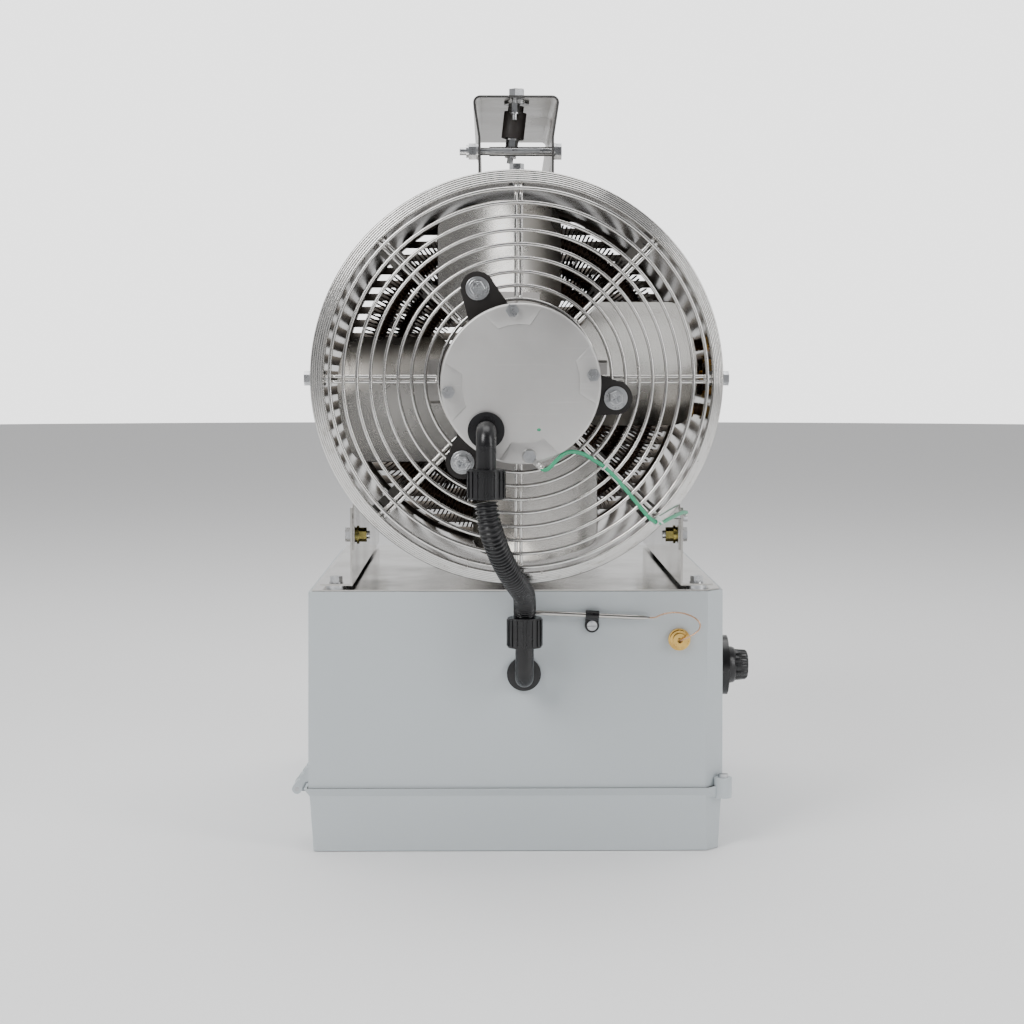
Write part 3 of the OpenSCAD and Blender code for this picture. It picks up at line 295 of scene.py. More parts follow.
def heat_browned():
    """Element fins: steel burnt brown, with straw and blue-black patches."""
    look = Look("browned_fins", (0.085, 0.055, 0.040), metallic=0.75, roughness=0.42)
    cloud = look.noise(45, detail=5)
    look.tint(look.levels(cloud, 0.45, 0.65, 0, 0.7), (0.17, 0.105, 0.065))
    look.tint(look.levels(look.noise(70, detail=3), 0.56, 0.7, 0, 0.6), (0.035, 0.033, 0.04))
    look.rough(cloud, 0.34, 0.55)
    look.bump(look.noise(900), 0.2, 0.0001)
    return look.material


def nylon(name="black_nylon", color=(0.008, 0.008, 0.009), roughness=0.26):
    """Black moulded plastic: slightly glossy, with a fine grain and faint dust."""
    look = Look(name, color, roughness=roughness)
    dust = look.noise(90, detail=7)
    look.tint(look.levels(dust, 0.60, 0.78, 0, 0.25), (0.03, 0.03, 0.03))
    look.rough(dust, roughness * 0.8, roughness * 1.5)
    look.bump(look.noise(1100, detail=3), 0.12, 0.0001)
    return look.material


def brass():
    look = Look("turned_brass", (0.72, 0.47, 0.14), metallic=1.0, roughness=0.2)
    cloud = look.noise(130, detail=4)
    look.tint(look.levels(cloud, 0.45, 0.7, 0, 0.6), (0.45, 0.26, 0.08))
    look.rough(cloud, 0.16, 0.34)
    look.bump(look.noise(1600, detail=2, stretch=(1, 8, 1)), 0.1, 0.0001)
    return look.material


def rubber():
    look = Look("black_rubber", (0.022, 0.017, 0.015), roughness=0.6)
    look.rough(look.noise(150, detail=5), 0.5, 0.75)
    look.bump(look.noise(800, detail=4), 0.3, 0.0002)
    return look.material


def insulation():
    look = Look("green_insulation", (0.035, 0.33, 0.17), roughness=0.35)
    cloud = look.noise(200, detail=3)
    look.tint(look.levels(cloud, 0.5, 0.7, 0, 0.4), (0.07, 0.43, 0.25))
    look.rough(cloud, 0.3, 0.45)
    look.bump(look.noise(1200, detail=2), 0.1, 0.0001)
    return look.material


def hanger_steel():
    """The channel: stainless, with brown heat tint round the weld under its top."""
    look = stainless("hanger_steel", low=0.14, high=0.3)
    weld_y, tint_half, core_half = -0.013, 0.030, 0.004
    wander = look.math("MULTIPLY", look.math("SUBTRACT", look.noise(38, detail=5), 0.5), 0.055)
    off = look.math("ABSOLUTE", look.math("ADD", look.math("SUBTRACT", look.axis("Y"), weld_y), wander), 0.0)
    under = look.levels(look.axis("Z"), 0.4790, 0.4797, 1, 0)
    ceiling = look.levels(look.axis("Z"), 0.470, 0.476, 0, 1)
    where = look.math("MULTIPLY", under, ceiling)
    brown = look.math("MULTIPLY", look.levels(off, 0.0, tint_half, 0.9, 0), where)
    look.tint(brown, (0.24, 0.10, 0.035))
    black = look.math("MULTIPLY", look.levels(off, core_half, core_half * 2.2, 1, 0), where)
    look.tint(black, (0.02, 0.015, 0.012))
    return look.material


# ---------------------------------------------------------------- meshes

def mesh_piece(name, vertices, faces, material, body="heater", smooth=True, slot=None):
    """A mesh object from plain lists, riding on a body."""
    mesh = bpy.data.meshes.new(name)
    mesh.from_pydata([tuple(v) for v in vertices], [], faces)
    mesh.validate()
    tidy = bmesh.new()
    tidy.from_mesh(mesh)
    bmesh.ops.recalc_face_normals(tidy, faces=tidy.faces)
    tidy.to_mesh(mesh)
    tidy.free()
    mesh.polygons.foreach_set("use_smooth", [smooth] * len(mesh.polygons))
    mesh.materials.append(material)
    piece = bpy.data.objects.new(name, mesh)
    bpy.context.scene.collection.objects.link(piece)
    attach(piece, body)
    return piece


def rounded(piece, width, segments=3, angle=35):
    """Rounds the sharp edges of a piece."""
    bevel = piece.modifiers.new("rounding", "BEVEL")
    bevel.width = width
    bevel.segments = segments
    bevel.limit_method = "ANGLE"
    bevel.angle_limit = math.radians(angle)
    bevel.use_clamp_overlap = True
    return piece


def frames_along(points, closed=False):
    """For each point of a path, two directions across it that turn as little as they can."""
    count = len(points)
    headings = []
    for i in range(count):
        before = points[i - 1] if i or closed else points[0]
        after = points[(i + 1) % count] if i < count - 1 or closed else points[-1]
        headings.append((after - before).normalized())
    side = headings[0].orthogonal().normalized()
    found = []
    for heading in headings:
        side = (side - heading * side.dot(heading)).normalized()
        found.append((side, heading.cross(side)))
    return found


def tube(points, radius_at, sides=16, closed=False):
    """Vertices and faces of a round tube along a path; radius_at gives the radius of a ring."""
    points = [Vector(p) for p in points]
    vertices, faces = [], []
    for i, (point, (side, up)) in enumerate(zip(points, frames_along(points, closed))):
        for k in range(sides):
            angle = 2 * math.pi * k / sides
            vertices.append(point + radius_at(i) * (math.cos(angle) * side + math.sin(angle) * up))
    rings = len(points)
    for i in range(rings if closed else rings - 1):
        a, b = i * sides, (i + 1) % rings * sides
        faces += [(a + k, b + k, b + (k + 1) % sides, a + (k + 1) % sides) for k in range(sides)]
    if not closed:
        faces.append(tuple(range(sides)))
        faces.append(tuple(range((rings - 1) * sides, rings * sides)))
    return vertices, faces


def smooth_path(points, steps):
    """A curve through given points, as a list of closer points."""
    points = [Vector(p) for p in points]
    found = []
    for i in range(len(points) - 1):
        p0, p1 = points[max(i - 1, 0)], points[i]
        p2, p3 = points[i + 1], points[min(i + 2, len(points) - 1)]
        for k in range(steps):
            t = k / steps
            found.append(0.5 * (2 * p1 + (p2 - p0) * t + (2 * p0 - 5 * p1 + 4 * p2 - p3) * t * t
                                + (3 * p1 - p0 - 3 * p2 + p3) * t ** 3))
    return found + [points[-1]]


def joined(*parts):
    """Several vertex and face lists as one."""
    vertices, faces = [], []
    for part_vertices, part_faces in parts:
        base = len(vertices)
        vertices += part_vertices
        faces += [tuple(base + i for i in face) for face in part_faces]
    return vertices, faces


def turned(profile, sides=96, centre=(0, 0, 0)):
    """A closed solid of revolution round the Y direction from (radius, y) points."""
    cx, cy, cz = centre
    vertices, faces = [], []
    count = len(profile)
    for k in range(sides):
        angle = 2 * math.pi * k / sides
        vertices += [Vector((cx + r * math.cos(angle), cy + y, cz + r * math.sin(angle))) for r, y in profile]
    for k in range(sides):
        a, b = k * count, (k + 1) % sides * count
        faces += [(a + i, b + i, b + (i + 1) % count, a + (i + 1) % count) for i in range(count)]
    return vertices, faces


def extruded(outline, depth, lift=0.0):
    """A flat outline of (x, y) points as a solid from height lift to lift + depth along Z."""
    count = len(outline)
    vertices = [Vector((x, y, lift)) for x, y in outline] + [Vector((x, y, lift + depth)) for x, y in outline]
    faces = [tuple(range(count)), tuple(range(count, 2 * count))]
    faces += [(i, (i + 1) % count, count + (i + 1) % count, count + i) for i in range(count)]
    return vertices, faces


def moved(part, matrix):
    """A vertex and face list carried by a matrix."""
    vertices, faces = part
    return [matrix @ v for v in vertices], faces


def circle(radius, count, start=0.0):
    return [(radius * math.cos(start + 2 * math.pi * k / count),
             radius * math.sin(start + 2 * math.pi * k / count))
            for k in range(count)]


# ---------------------------------------------------------------- guard

DRUM_AXIS = Vector((0, 0, 302)) * MM
WIRE_R = 1.1 * MM


def add_guard_spokes(material):
    """Eight wire hairpins: in along one wire, round a turn at the motor and out along the other."""
    face_y, end_y = -220.8, -150.0
    turn_r, corner_r, end_r = 49.6, 113.0, 127.5
    bend_r, half_gap = 6.0, 1.5
    lean = math.atan2(end_r - corner_r, end_y - face_y)
    bend_x = corner_r - bend_r * math.tan((math.pi / 2 - lean) / 2)

    def half(side):
        points = [(end_r, end_y, side * half_gap)]
        for k in range(9):
            angle = -lean + (lean - math.pi / 2) * k / 8
            points.append((bend_x + bend_r * math.cos(angle), face_y + bend_r + bend_r * math.sin(angle),
                           side * half_gap))
        return points + [(turn_r, face_y, side * half_gap)]

    turn = [(turn_r - half_gap * math.sin(a), face_y, half_gap * math.cos(a))
            for a in (math.pi * k / 10 for k in range(1, 10))]
    path = [Vector(p) * MM for p in half(1) + turn + half(-1)[::-1]]
    parts = []
    for k in range(8):
        place = Matrix.Translation(DRUM_AXIS) @ Matrix.Rotation(-k * math.pi / 4, 4, "Y")
        parts.append(tube([place @ p for p in path], lambda i: WIRE_R, sides=12))
    spokes = mesh_piece("guard_spoke_wires", *joined(*parts), material, slot="polished_wire")
    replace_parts(spokes, "guard_spokes")


def add_guard_rings(material):
    """The face rings, and the side rings on the outside of the spokes, with small spot-weld marks."""
    sides, around = 12, 120
    face_parts, side_parts, welds = [], [], []

    def ring(radius, y):
        points = [DRUM_AXIS + Vector((radius * math.cos(a), y, radius * math.sin(a))) * MM
                  for a in (2 * math.pi * k / around for k in range(around))]
        return tube(points, lambda i: WIRE_R, sides=sides, closed=True)

    def weld(radius, y, turn, side):
        place = (Matrix.Translation(DRUM_AXIS) @ Matrix.Rotation(-turn, 4, "Y")
                 @ Matrix.Translation(Vector((radius, y, side * 1.5)) * MM))
        blob = [place @ (Vector((math.cos(a) * math.cos(b) * 1.0, math.sin(b) * 0.75,
                                 math.sin(a) * math.cos(b) * 1.0))
                         * MM) for b in (-0.9, 0, 0.9) for a in (2 * math.pi * k / 8 for k in range(8))]
        faces = [(r * 8 + k, r * 8 + (k + 1) % 8, (r + 1) * 8 + (k + 1) % 8, (r + 1) * 8 + k)
                 for r in range(2) for k in range(8)]
        return blob, faces + [tuple(range(8)), tuple(range(16, 24))]

    for k in range(9):
        radius = 47.2 + 8.1 * k
        face_parts.append(ring(radius, -223.0))
        if k:
            welds += [weld(radius, -221.9, turn * math.pi / 4, side) for turn in range(8) for side in (-1, 1)]
    lean = math.atan2(14.5, 70.8)
    for k in range(6):
        along = 10.0 + 11.0 * k
        side_parts.append(ring(113.0 + along * math.tan(lean) + 2.2 * math.cos(lean) + 0.02,
                               -220.8 + along - 2.2 * math.sin(lean)))
    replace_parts(mesh_piece("guard_face_ring_wires", *joined(*face_parts), material, slot="polished_wire"),
                "guard_face_rings")
    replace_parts(mesh_piece("guard_side_ring_wires", *joined(*side_parts), material, slot="polished_wire"),
                "guard_side_rings")
    mesh_piece("guard_spot_welds", *joined(*welds), material, slot="polished_wire")


# ---------------------------------------------------------------- heating elements

def add_element(name, node, ring_r, y, tail_z, open_degrees, material, terminal_material):
    """A tube bent into an open ring with a crimped spiral fin, its tails and their terminals."""
    tube_r, fin_in, fin_out, pitch = 4.2, 3.9, 12.4, 2.5
    half_open = math.radians(open_degrees) / 2
    tail_angle = math.asin(tail_z / ring_r)

    def on_ring(angle, radius=ring_r, lift=0.0):
        return DRUM_AXIS + Vector((radius * math.cos(angle), y + lift, radius * math.sin(angle))) * MM

    wall_x = 127.0
    steps = 120
    arc = [on_ring(tail_angle + (2 * math.pi - 2 * tail_angle) * k / steps) for k in range(steps + 1)]
    start = DRUM_AXIS + Vector((wall_x, y, tail_z)) * MM
    end = DRUM_AXIS + Vector((wall_x, y, -tail_z)) * MM
    parts = [tube([start] + arc + [end], lambda i: tube_r * MM, sides=14)]

    span = 2 * math.pi - 2 * half_open
    turns = int(span * ring_r / pitch)
    per_turn = 20
    vertices, faces = [], []
    total = turns * per_turn
    for i in range(total + 1):
        angle = half_open + span * i / total
        spin = 2 * math.pi * i / per_turn
        ripple = 0.35 * math.sin(6 * spin)
        for radius, lift in ((fin_in, -0.2), (fin_out + 0.25 * math.sin(7.3 * spin), -0.15 + ripple),
                             (fin_out + 0.25 * math.sin(7.3 * spin), 0.15 + ripple), (fin_in, 0.2)):
            out = radius * math.cos(spin)
            along = lift / ring_r
            vertices.append(on_ring(angle + along, ring_r + out, radius * math.sin(spin)))
    for i in range(total):
        a, b = 4 * i, 4 * i + 4
        faces += [(a + k, b + k, b + (k + 1) % 4, a + (k + 1) % 4) for k in range(4)]
    faces += [(0, 1, 2, 3), (4 * total + 3, 4 * total + 2, 4 * total + 1, 4 * total)]
    parts.append((vertices, faces))
    element = mesh_piece(name, *joined(*parts), material, slot="brown_fins")
    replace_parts(element, node)

    nuts = []
    for side in (-1, 1):
        place = (Matrix.Translation(DRUM_AXIS + Vector((wall_x - 7, y, side * tail_z)) * MM)
                 @ Matrix.Rotation(math.pi / 2, 4, "Y"))
        nuts.append(moved(extruded(circle(5.9 * MM, 6), 3.5 * MM), place))
    rounded(mesh_piece(name + "_tail_nuts", *joined(*nuts), terminal_material, smooth=False, slot="brass"),
            0.3 * MM, 2)


# ---------------------------------------------------------------- conduit, wire and capillary

CONDUIT = [(-19.2, -269, 232), (-18.4, -269, 225), (-16.8, -267.4, 217), (-14, -262, 208),
           (-10.8, -254, 199.5), (-7.2, -245, 191.5), (-3.4, -235, 184.5), (-0.2, -223.5, 178.8),
           (2, -212, 174.6), (3.4, -200.5, 171.2), (4.2, -190, 167), (4.5, -182.6, 161.2),
           (4.5, -179.2, 156.6), (4.5, -179, 154)]
EARTH_WIRE = [(13, -244.9, 250), (15.5, -245.5, 249.4), (18.4, -245.2, 251.3), (22, -243.5, 255),
              (26.6, -240, 258.6), (32, -236.5, 259.6), (38.6, -233, 257.8), (45, -230.8, 254),
              (50.7, -229.6, 250.2), (58, -229, 243.2), (65, -228.6, 235), (72.5, -227.8, 225.9),
              (77.5, -226, 220), (82.1, -222, 216.9), (86.5, -214, 216), (90.1, -205, 216.7),
              (95, -192, 217.6), (100, -178, 218.2), (104.5, -164, 218.4), (107.2, -154, 217.2),
              (107.4, -149.4, 216)]
CAPILLARY = [(84.2, -157.5, 150.8), (85.4, -157.6, 150.8), (88, -158, 151.2), (91.5, -159, 153),
             (96.4, -160.4, 154.3), (101.8, -161.8, 154.6), (107.1, -163, 153.7), (112.2, -163.8, 151.3),
             (115.2, -164.2, 147.8), (114.6, -164.2, 144), (111.4, -163.8, 141.2), (107.8, -163.2, 139),
             (105, -162.6, 137.6), (103.4, -161.4, 136.8), (103.2, -158.4, 136.6)]


def in_metres(points):
    return [Vector(p) * MM for p in points]


def evenly(points, spacing):
    """The same path with points a fixed distance apart."""
    found, carry = [points[0]], 0.0
    for a, b in zip(points, points[1:]):
        length = (b - a).length
        at = spacing - carry
        while at < length:
            found.append(a.lerp(b, at / length))
            at += spacing
        carry = length - (at - spacing)
    return found + [points[-1]]


def add_conduit(material):
    """Corrugated hose: rounded ribs with narrow grooves between them."""
    outer, groove, pitch, rings_per_rib = 7.0 * MM, 5.7 * MM, 2.7 * MM, 8
    path = evenly(smooth_path(in_metres(CONDUIT), 24), pitch / rings_per_rib)

    def radius_at(i):
        wave = math.cos(2 * math.pi * i / rings_per_rib)
        return groove + (outer - groove) * min(1.0, 0.5 + 0.85 * max(-0.59, wave))

    hose = mesh_piece("corrugated_conduit", *tube(path, radius_at, sides=28), material, slot="black_plastic")
    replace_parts(hose, "motor_conduit")


def add_thin_lines(green, copper):
    wire = mesh_piece("earth_wire_lead", *tube(smooth_path(in_metres(EARTH_WIRE), 6), lambda i: 1.2 * MM,
                                               sides=14),
                      green, slot="earth_green")
    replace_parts(wire, "earth_wire")
    path = smooth_path(in_metres(CAPILLARY), 6)
    line = mesh_piece("capillary_line", *tube(path, lambda i: 0.5 * MM, sides=12), copper,
                      slot="copper_capillary")
    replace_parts(line, "sensor_capillary")


# ---------------------------------------------------------------- motor

MOTOR_AXIS = Vector((1, 0, 299.5)) * MM
STUD_ANGLES = [math.radians(a) for a in (6.7, 96.7, 186.7, 276.7)]
STUD_R = 42.6
ARM_POINTS = [(-24.2, 53.3), (57.4, -11.1), (-33.3, -49.1)]


def facing_rear(centre, y):
    """A matrix that stands things drawn along +Z on a rear-facing surface at height y."""
    return Matrix.Translation(Vector((centre[0], y, centre[1]))) @ Matrix.Rotation(math.pi / 2, 4, "X")


def add_end_cover(material, paint):
    """Pressed cover with a rolled edge and a raised pad under each stud nut."""
    profile = [(0.02, -241.5), (11, -241.5), (11, -233.5), (13, -233.5), (13, -241.5), (45.6, -241.5),
               (45.6, -237.0), (47.0, -237.0), (47.0, -241.6), (46.8, -242.3), (46.3, -242.8), (45.6, -243.0),
               (0.02, -243.0)]
    shell = turned([(r * MM, y * MM) for r, y in profile], sides=128, centre=MOTOR_AXIS)
    cover = mesh_piece("motor_cover_pressing", *shell, material, slot="cast_aluminium")
    cover.modifiers.new("facets", "EDGE_SPLIT").split_angle = math.radians(40)
    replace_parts(cover, "motor_end_cover")
    half = math.radians(22)
    pads = []
    for stud in STUD_ANGLES:
        inner, outer, steps = 34.5 * MM, 46.0 * MM, 10
        arc = [stud - half + 2 * half * k / steps for k in range(steps + 1)]
        outline = [(outer * math.cos(a), outer * math.sin(a)) for a in arc]
        inner_arc = [stud - 0.72 * half + 1.44 * half * k / steps for k in range(steps + 1)][::-1]
        outline += [(inner * math.cos(a), inner * math.sin(a)) for a in inner_arc]
        pads.append(moved(extruded(outline, 0.5 * MM), facing_rear((MOTOR_AXIS.x, MOTOR_AXIS.z), -0.24299)))
    rounded(mesh_piece("motor_cover_pads", *joined(*pads), material, slot="cast_aluminium"), 0.35 * MM, 3, 50)
    dot = moved(extruded(circle(1.2 * MM, 9, 0.3), 0.12 * MM),
                facing_rear((MOTOR_AXIS.x + 0.0106, MOTOR_AXIS.z - 0.0268),
                            -0.243) @ Matrix.Diagonal((1.0, 0.75, 1, 1)))
    mesh_piece("inspection_paint_dot", *dot, paint, slot="earth_green")


def hex_head(across, height, chamfer=0.12, recess=None):
    """A hexagon head with a chamfered top; recess is the width of a cross slot drawn in its top."""
    corner = across / math.cos(math.pi / 6) / 2
    low, top = circle(corner, 6), circle(corner * (1 - chamfer), 6)
    vertices = [Vector((x, y, 0)) for x, y in low] + [Vector((x, y, height * 0.88)) for x, y in low]
    vertices += [Vector((x, y, height)) for x, y in top]
    faces = [tuple(range(6))]
    for r in range(2):
        faces += [(r * 6 + k, r * 6 + (k + 1) % 6, (r + 1) * 6 + (k + 1) % 6,
                   (r + 1) * 6 + k) for k in range(6)]
    if recess is None:
        return vertices, faces + [tuple(range(12, 18))]
    # The cross: twelve rim points, the same twelve lower down, and a floor
    arm, wide, deep = recess / 2, recess / 9, height * 0.45
    rim = []
    for k in range(4):
        turn = Matrix.Rotation(k * math.pi / 2, 3, "Z")
        rim += [turn @ Vector(p) for p in ((arm, -wide, height), (arm, wide, height), (wide, wide, height))]
    base = len(vertices)
    vertices += rim + [Vector((p.x * 0.8, p.y * 0.8, height - deep)) for p in rim]
    faces += [(base + k, base + (k + 1) % 12, base + 12 + (k + 1) % 12, base + 12 + k) for k in range(12)]
    faces.append(tuple(base + 12 + k for k in range(12)))
    # The flat round the cross, hexagon point by hexagon point
    nearest = [min(range(12), key=lambda j: (rim[j] - vertices[12 + k]).length) for k in range(6)]
    for k in range(6):
        first, last = nearest[k], nearest[(k + 1) % 6]
        run = [first]
        while run[-1] != last:
            run.append((run[-1] + 1) % 12)
        faces.append((12 + k, 12 + (k + 1) % 6) + tuple(base + j for j in run[::-1]))
    return vertices, faces


def add_bracket_fixings(material, dark):
    """Cross-slotted hexagon screws on wide washers, with clamp plates and nuts inside the guard."""
    outside, inside = [], []
    for number, (x, z) in enumerate(ARM_POINTS):
        place = facing_rear((x * MM, DRUM_AXIS.z + z * MM), -0.2261) @ Matrix.Rotation(0.5 * number, 4, "Z")
        outside.append(moved(extruded(circle(7 * MM, 40), 1.2 * MM), place))
        outside.append(moved(extruded(circle(5.4 * MM, 32), 0.7 * MM),
                             place @ Matrix.Translation((0, 0, 0.0012))))
        outside.append(moved(hex_head(8 * MM, 2.8 * MM, recess=5.2 * MM),
                             place @ Matrix.Translation((0, 0, 0.0019))))
        inside.append(moved(extruded(circle(2 * MM, 20), 14.6 * MM),
                            place @ Matrix.Translation((0, 0, -0.0146))))
        clamp = facing_rear((x * MM, DRUM_AXIS.z + z * MM), -0.2219)
        inside.append(moved(extruded(circle(8 * MM, 40), 1.5 * MM),
                            clamp @ Matrix.Translation((0, 0, -0.0015))))
        inside.append(moved(extruded(circle(4.04 * MM, 6), 3.2 * MM),
                            clamp @ Matrix.Translation((0, 0, -0.0047))))
    screws = rounded(mesh_piece("bracket_screws_and_washers", *joined(*outside), material, smooth=False,
                                slot="zinc_steel"), 0.2 * MM, 2)
    clamps = rounded(mesh_piece("guard_clamp_plates", *joined(*inside), dark, smooth=False, slot="zinc_steel"),
                     0.2 * MM, 2)
    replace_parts(screws, "bracket_fixings")
    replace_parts(clamps, "bracket_fixings")


# ---------------------------------------------------------------- terminals and ties

def add_terminals(tinned, clear):
    """Ring terminals with crimped barrels at both ends of the earth wire, and two cable ties."""
    stud_x = MOTOR_AXIS.x + STUD_R * MM * math.cos(STUD_ANGLES[3])
    stud_z = MOTOR_AXIS.z + STUD_R * MM * math.sin(STUD_ANGLES[3])

    def ring_terminal(place, reach):
        outline = circle(4.4 * MM, 28)
        flat = extruded(outline, 0.8 * MM)
        neck = extruded([(3.2 * MM, -1.7 * MM), (reach, -1.4 * MM), (reach, 1.4 * MM), (3.2 * MM, 1.7 * MM)],
                        0.8 * MM)
        return [moved(flat, place), moved(neck, place)]

    def barrel(a, b, radius):
        points = [a.lerp(b, k / 8) for k in range(9)]
        waist = [1.0, 1.0, 0.86, 0.8, 0.86, 1.0, 1.0, 0.95, 0.9]
        return tube(points, lambda i: radius * waist[i], sides=16)

    start, onward = Vector(EARTH_WIRE[0]) * MM, Vector(EARTH_WIRE[2]) * MM
    slope = math.atan2(start.z - stud_z, start.x - stud_x)
    motor_end = facing_rear((stud_x, stud_z), -0.243) @ Matrix.Rotation(slope, 4, "Z")
    parts = ring_terminal(motor_end, (Vector((stud_x, -0.243, stud_z)) - start).length)
    parts.append(barrel(Vector((stud_x + 0.0045, -0.2444, stud_z - 0.0045)), start.lerp(onward, 0.25),
                        1.75 * MM))
    end, before = Vector(EARTH_WIRE[-1]) * MM, Vector(EARTH_WIRE[-3]) * MM
    rail_end = (Matrix.Translation((0.1051, -0.145, 0.2145)) @ Matrix.Rotation(math.pi / 2, 4, "Y")
                @ Matrix.Rotation(math.radians(197), 4, "Z"))
    parts += ring_terminal(rail_end, 5.2 * MM)
    parts.append(barrel(end, end.lerp(before, 0.55), 1.75 * MM))
    terminals = mesh_piece("ring_terminals", *joined(*parts), tinned, smooth=False, slot="tinned_terminals")
    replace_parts(rounded(terminals, 0.15 * MM, 2), "earth_wire_fittings")

    ties = []
    for index, tail_turn in ((8, 0.3), (13, 2.3)):
        centre = Vector(EARTH_WIRE[index]) * MM
        along = (Vector(EARTH_WIRE[index + 1]) - Vector(EARTH_WIRE[index - 1])).normalized()
        turn = along.to_track_quat("Z", "Y").to_matrix().to_4x4()
        place = Matrix.Translation(centre) @ turn
        loop = [place @ Vector((1.75 * MM * math.cos(a), 1.75 * MM * math.sin(a), 0))
                for a in (2 * math.pi * k / 24 for k in range(24))]
        ties.append(tube(loop, lambda i: 0.6 * MM, sides=8, closed=True))
        head = place @ Matrix.Rotation(tail_turn, 4, "Z")
        block = extruded([(1.6 * MM, -1.4 * MM), (3.6 * MM, -1.4 * MM), (3.6 * MM, 1.4 * MM),
                          (1.6 * MM, 1.4 * MM)],
                         2.4 * MM, -1.2 * MM)
        ties.append(moved(block, head))
        stub = extruded([(2.2 * MM, 1.2 * MM), (3.0 * MM, 1.2 * MM), (3.2 * MM, 4.2 * MM),
                         (2.4 * MM, 4.2 * MM)],
                        1.8 * MM, -0.9 * MM)
        ties.append(moved(stub, head))
    bands = mesh_piece("cable_ties", *joined(*ties), clear, smooth=False, slot="tinned_terminals")
    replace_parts(rounded(bands, 0.15 * MM, 2), "earth_wire_fittings")


# ---------------------------------------------------------------- knobs

def add_knob(name, node, body, material, mark):
    """A knob with a bevelled skirt, a fluted grip and a white pointer line."""
    low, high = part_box(node)
    y, z = (low.y + high.y) / 2, (low.z + high.z) / 2
    top = high.x
    skirt = top - 13.3 * MM
    flutes, samples = 12, 144
    place = Matrix.Translation((0, y, z)) @ Matrix.Rotation(math.pi / 2, 4, "Y")

    def ring(x, radius, depth=0.0):
        points = []
        for k in range(samples):
            angle = 2 * math.pi * k / samples
            wave = 0.5 - 0.5 * math.cos(flutes * angle)
            r = radius - depth * wave ** 2
            points.append(place @ Vector((r * math.cos(angle), r * math.sin(angle), x)))
        return points

    levels = [(skirt, 11.8, 0), (skirt + 0.5 * MM, 12.4, 0), (skirt + 3.8 * MM, 11.7, 0),
              (skirt + 4.6 * MM, 11.1, 0),
              (skirt + 5.0 * MM, 10.4, 0.8), (top - 1.4 * MM, 9.8, 0.9), (top - 0.5 * MM, 9.0, 0.8),
              (top, 8.0, 0.4),
              (top - 0.01 * MM, 6.6, 0.0), (top - 0.6 * MM, 6.0, 0.0)]
    vertices, faces = [], []
    for x, radius, depth in levels:
        vertices += ring(x, radius * MM, depth * MM)
    for r in range(len(levels) - 1):
        a, b = r * samples, (r + 1) * samples
        faces += [(a + k, a + (k + 1) % samples, b + (k + 1) % samples, b + k) for k in range(samples)]
    faces.append(tuple(range(samples)))
    faces.append(tuple(range((len(levels) - 1) * samples, len(levels) * samples)))
    spindle = tube([Vector((low.x, y, z)), Vector((skirt + 1 * MM, y, z))], lambda i: 3 * MM, sides=32)
    knob = mesh_piece(name, *joined((vertices, faces), spindle), material, body=body, slot="black_plastic")
    knob.modifiers.new("facets", "EDGE_SPLIT").split_angle = math.radians(40)
    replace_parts(knob, node)
    line = extruded([(-0.5 * MM, 7.0 * MM), (0.5 * MM, 7.0 * MM), (0.5 * MM, 8.2 * MM),
                     (-0.5 * MM, 8.2 * MM)], 0.3 * MM)
    line_place = Matrix.Translation((top - 0.3 * MM, y, z)) @ Matrix.Rotation(math.pi / 2, 4, "Y")
    side_line = extruded([(-0.5 * MM, 9.0 * MM), (0.5 * MM, 9.0 * MM), (0.5 * MM, 12.2 * MM),
                          (-0.5 * MM, 12.2 * MM)],
                         0.3 * MM)
    side_place = Matrix.Translation((skirt + 4.2 * MM, y, z)) @ Matrix.Rotation(math.pi / 2, 4, "Y")
    mesh_piece(name + "_pointer", *joined(moved(line, line_place), moved(side_line, side_place)), mark,
               body=body,
               smooth=False, slot="ivory_plastic")


def add_dial_ticks(name, node, first, last, count, mark):
    """Plain tick marks round a bezel, longer at every third place."""
    low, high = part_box(node)
    y, z = (low.y + high.y) / 2, (low.z + high.z) / 2
    parts = []
    for k in range(count):
        angle = math.radians(first + (last - first) * k / (count - 1))
        inner = 14.0 if k % 3 == 0 else 15.2
        tick = extruded([(inner * MM, -0.22 * MM), (17.0 * MM, -0.22 * MM), (17.0 * MM, 0.22 * MM),
                         (inner * MM, 0.22 * MM)], 0.1 * MM)
        place = (Matrix.Translation((high.x - 0.02 * MM, y, z)) @ Matrix.Rotation(math.pi / 2, 4, "Y")
                 @ Matrix.Rotation(angle, 4, "Z"))
        parts.append(moved(tick, place))
    mesh_piece(name, *joined(*parts), mark, smooth=False, slot="ivory_plastic")


# ---------------------------------------------------------------- assembly

def dress(material, *names, edge=0.0, segments=3, angle=35):
    """Gives CAD nodes a material and, where edge is set, rounded edges."""
    for name in names:
        node = NODES[name]
        node.data.materials.clear()
        node.data.materials.append(material)
        if edge:
            rounded(node, edge * MM, segments, angle)


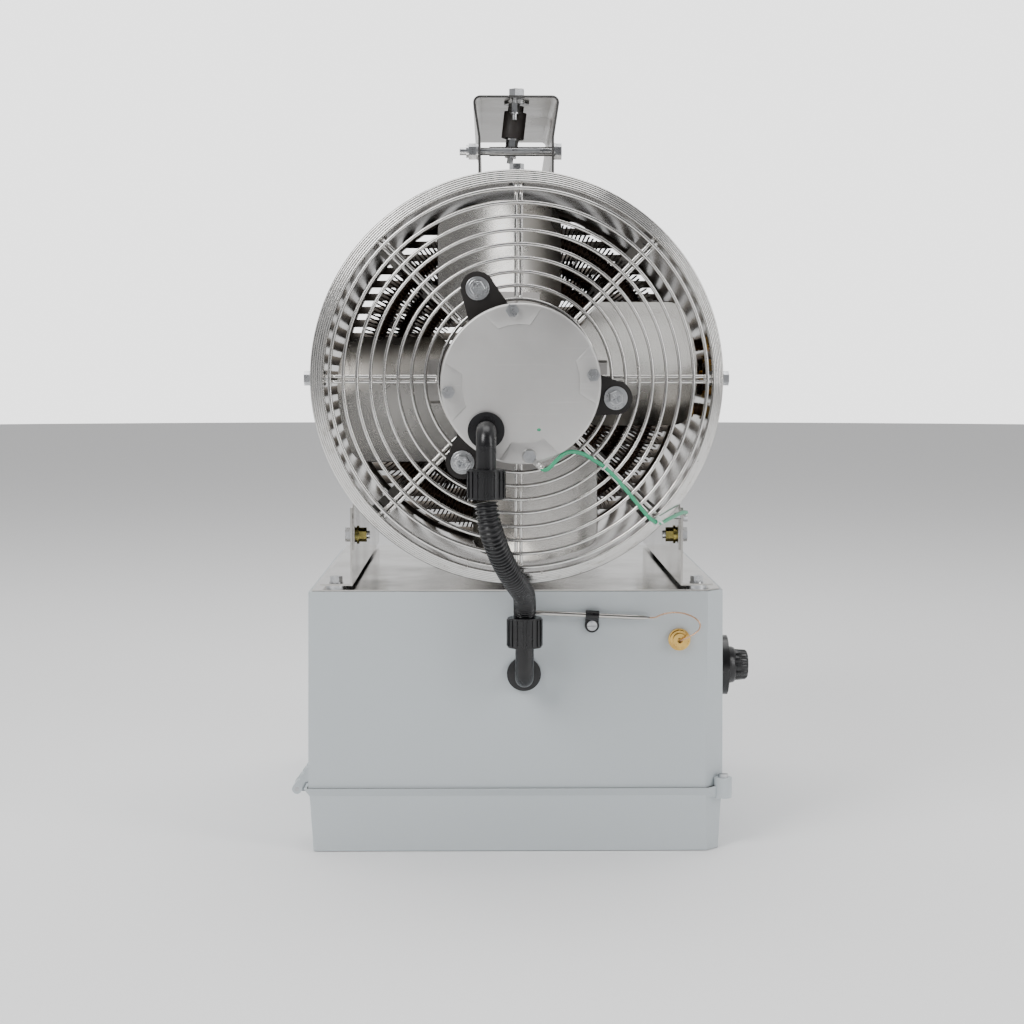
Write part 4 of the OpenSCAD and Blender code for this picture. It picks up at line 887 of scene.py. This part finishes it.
def build():
    sheet = stainless("stainless_sheet").material
    blade = stainless("blade_steel", color=(0.60, 0.585, 0.56), low=0.16, high=0.32,
                      grain=(0.03, 1, 1)).material
    drum = stainless("drum_steel", color=(0.55, 0.53, 0.50), low=0.06, high=0.16, grain=(1, 1, 0.03),
                     strength=0.05).material
    wire = wire_steel()
    bolts = zinc()
    dark_bolts = zinc("dull_zinc", (0.42, 0.41, 0.39), (0.24, 0.23, 0.22))
    yellow = zinc("yellow_zinc", (0.36, 0.30, 0.10), (0.17, 0.16, 0.06))
    aluminium = pressed_aluminium()
    fins = heat_browned()
    black = nylon()
    black_paint = dark_steel("black_paint", (0.014, 0.012, 0.011), roughness=0.38, metallic=0.1)
    # The grille's near-black colour is painted shade: it darkens the slats as if they were backlit and in
    # shadow.
    grille = dark_steel("grille_painted_shade", (0.10, 0.085, 0.07), roughness=0.42, metallic=0.8)
    grey = dark_steel("plain_steel", (0.28, 0.27, 0.26), roughness=0.38, metallic=0.9)
    gold = brass()
    copper = zinc("copper_tube", (0.70, 0.45, 0.30), (0.48, 0.28, 0.17))
    tinned = zinc("tinned_copper", (0.70, 0.69, 0.67), (0.50, 0.49, 0.47))
    green = insulation()
    white_mark = plain("white_mark", (0.75, 0.75, 0.74), roughness=0.5)
    clear_tie = plain("tie_plastic", (0.66, 0.68, 0.66), roughness=0.3)

    dress(polycarbonate(), "control_box_body", "control_box_cover", edge=1.0)
    dress(rubber(), "cover_gasket", "hanger_bobbin", edge=0.3)
    dress(sheet, "top_plate", "rail_left", "rail_right", "drum_ears", edge=0.3, segments=2)
    dress(drum, "drum_shell")
    dress(blade, "impeller_blade_1", "impeller_blade_2", "impeller_blade_3", "impeller_blade_4", edge=0.3,
          segments=2)
    dress(hanger_steel(), "hanger_channel", edge=1.2, segments=4)
    dress(sheet, "sensor_bulb", edge=0.5)
    dress(bolts, "cover_hinge_pins", "cover_screws", "rail_spacers", "rail_bolts", "ear_bolts", "guard_bolts",
          "motor_cover_nuts", "case_screws", "hanger_cross_bolt", "hanger_top_bolt", "motor_shaft",
          "motor_bearings",
          edge=0.3, segments=2)
    dress(yellow, "ear_nuts", edge=0.3, segments=2)
    dress(grey, "motor_can", "motor_stator", "motor_rotor", "impeller_spider", "element_brackets", edge=0.3,
          segments=2)
    dress(grille, "front_grille", edge=0.2, segments=2)
    dress(black_paint, "motor_bracket", edge=0.5)
    dress(black, "motor_gland_elbow", "motor_conduit_nut", "box_conduit_nut", "box_gland_elbow", "sensor_clip",
          "thermostat_body", "selector_switch", "supply_gland", edge=0.5)
    dress(gold, "limit_thermostat", "capillary_gland", edge=0.3, segments=2)
    dress(plain("ivory_block", (0.72, 0.68, 0.56), roughness=0.45), "terminal_block", edge=0.4)

    add_guard_spokes(wire)
    add_guard_rings(wire)
    add_element("finned_element_outer", "heating_element_outer", 97, -35, 97 * math.sin(math.radians(13)), 26,
                fins, gold)
    add_element("finned_element_inner", "heating_element_inner", 68, -35, 5, 26, fins, gold)
    add_element("finned_element_middle", "heating_element_middle", 83, -5, 8, 26, fins, gold)
    add_conduit(black)
    add_thin_lines(green, copper)
    add_end_cover(aluminium, green)
    add_bracket_fixings(bolts, dark_bolts)
    add_terminals(tinned, clear_tie)
    add_knob("thermostat_knob_fluted", "thermostat_knob", "thermostat_dial", black, white_mark)
    add_knob("selector_knob_fluted", "selector_knob", "selector_dial", black, white_mark)
    add_dial_ticks("thermostat_scale", "thermostat_body", -45, 225, 28, white_mark)
    add_dial_ticks("selector_scale", "selector_switch", 30, 150, 4, white_mark)


add_camera()
add_world()
add_floor()
add_area_light("key", (-1.3, -1.6, 1.7), (0, 0, 0.25), (1.0, 1.3), 40)
add_area_light("fill", (1.6, -1.2, 0.9), (0, 0, 0.25), (0.7, 1.4), 15)
add_area_light("top", (0, 0.1, 2.0), (0, 0, 0.2), (1.6, 1.6), 26)
build()
bpy.context.view_layer.update()
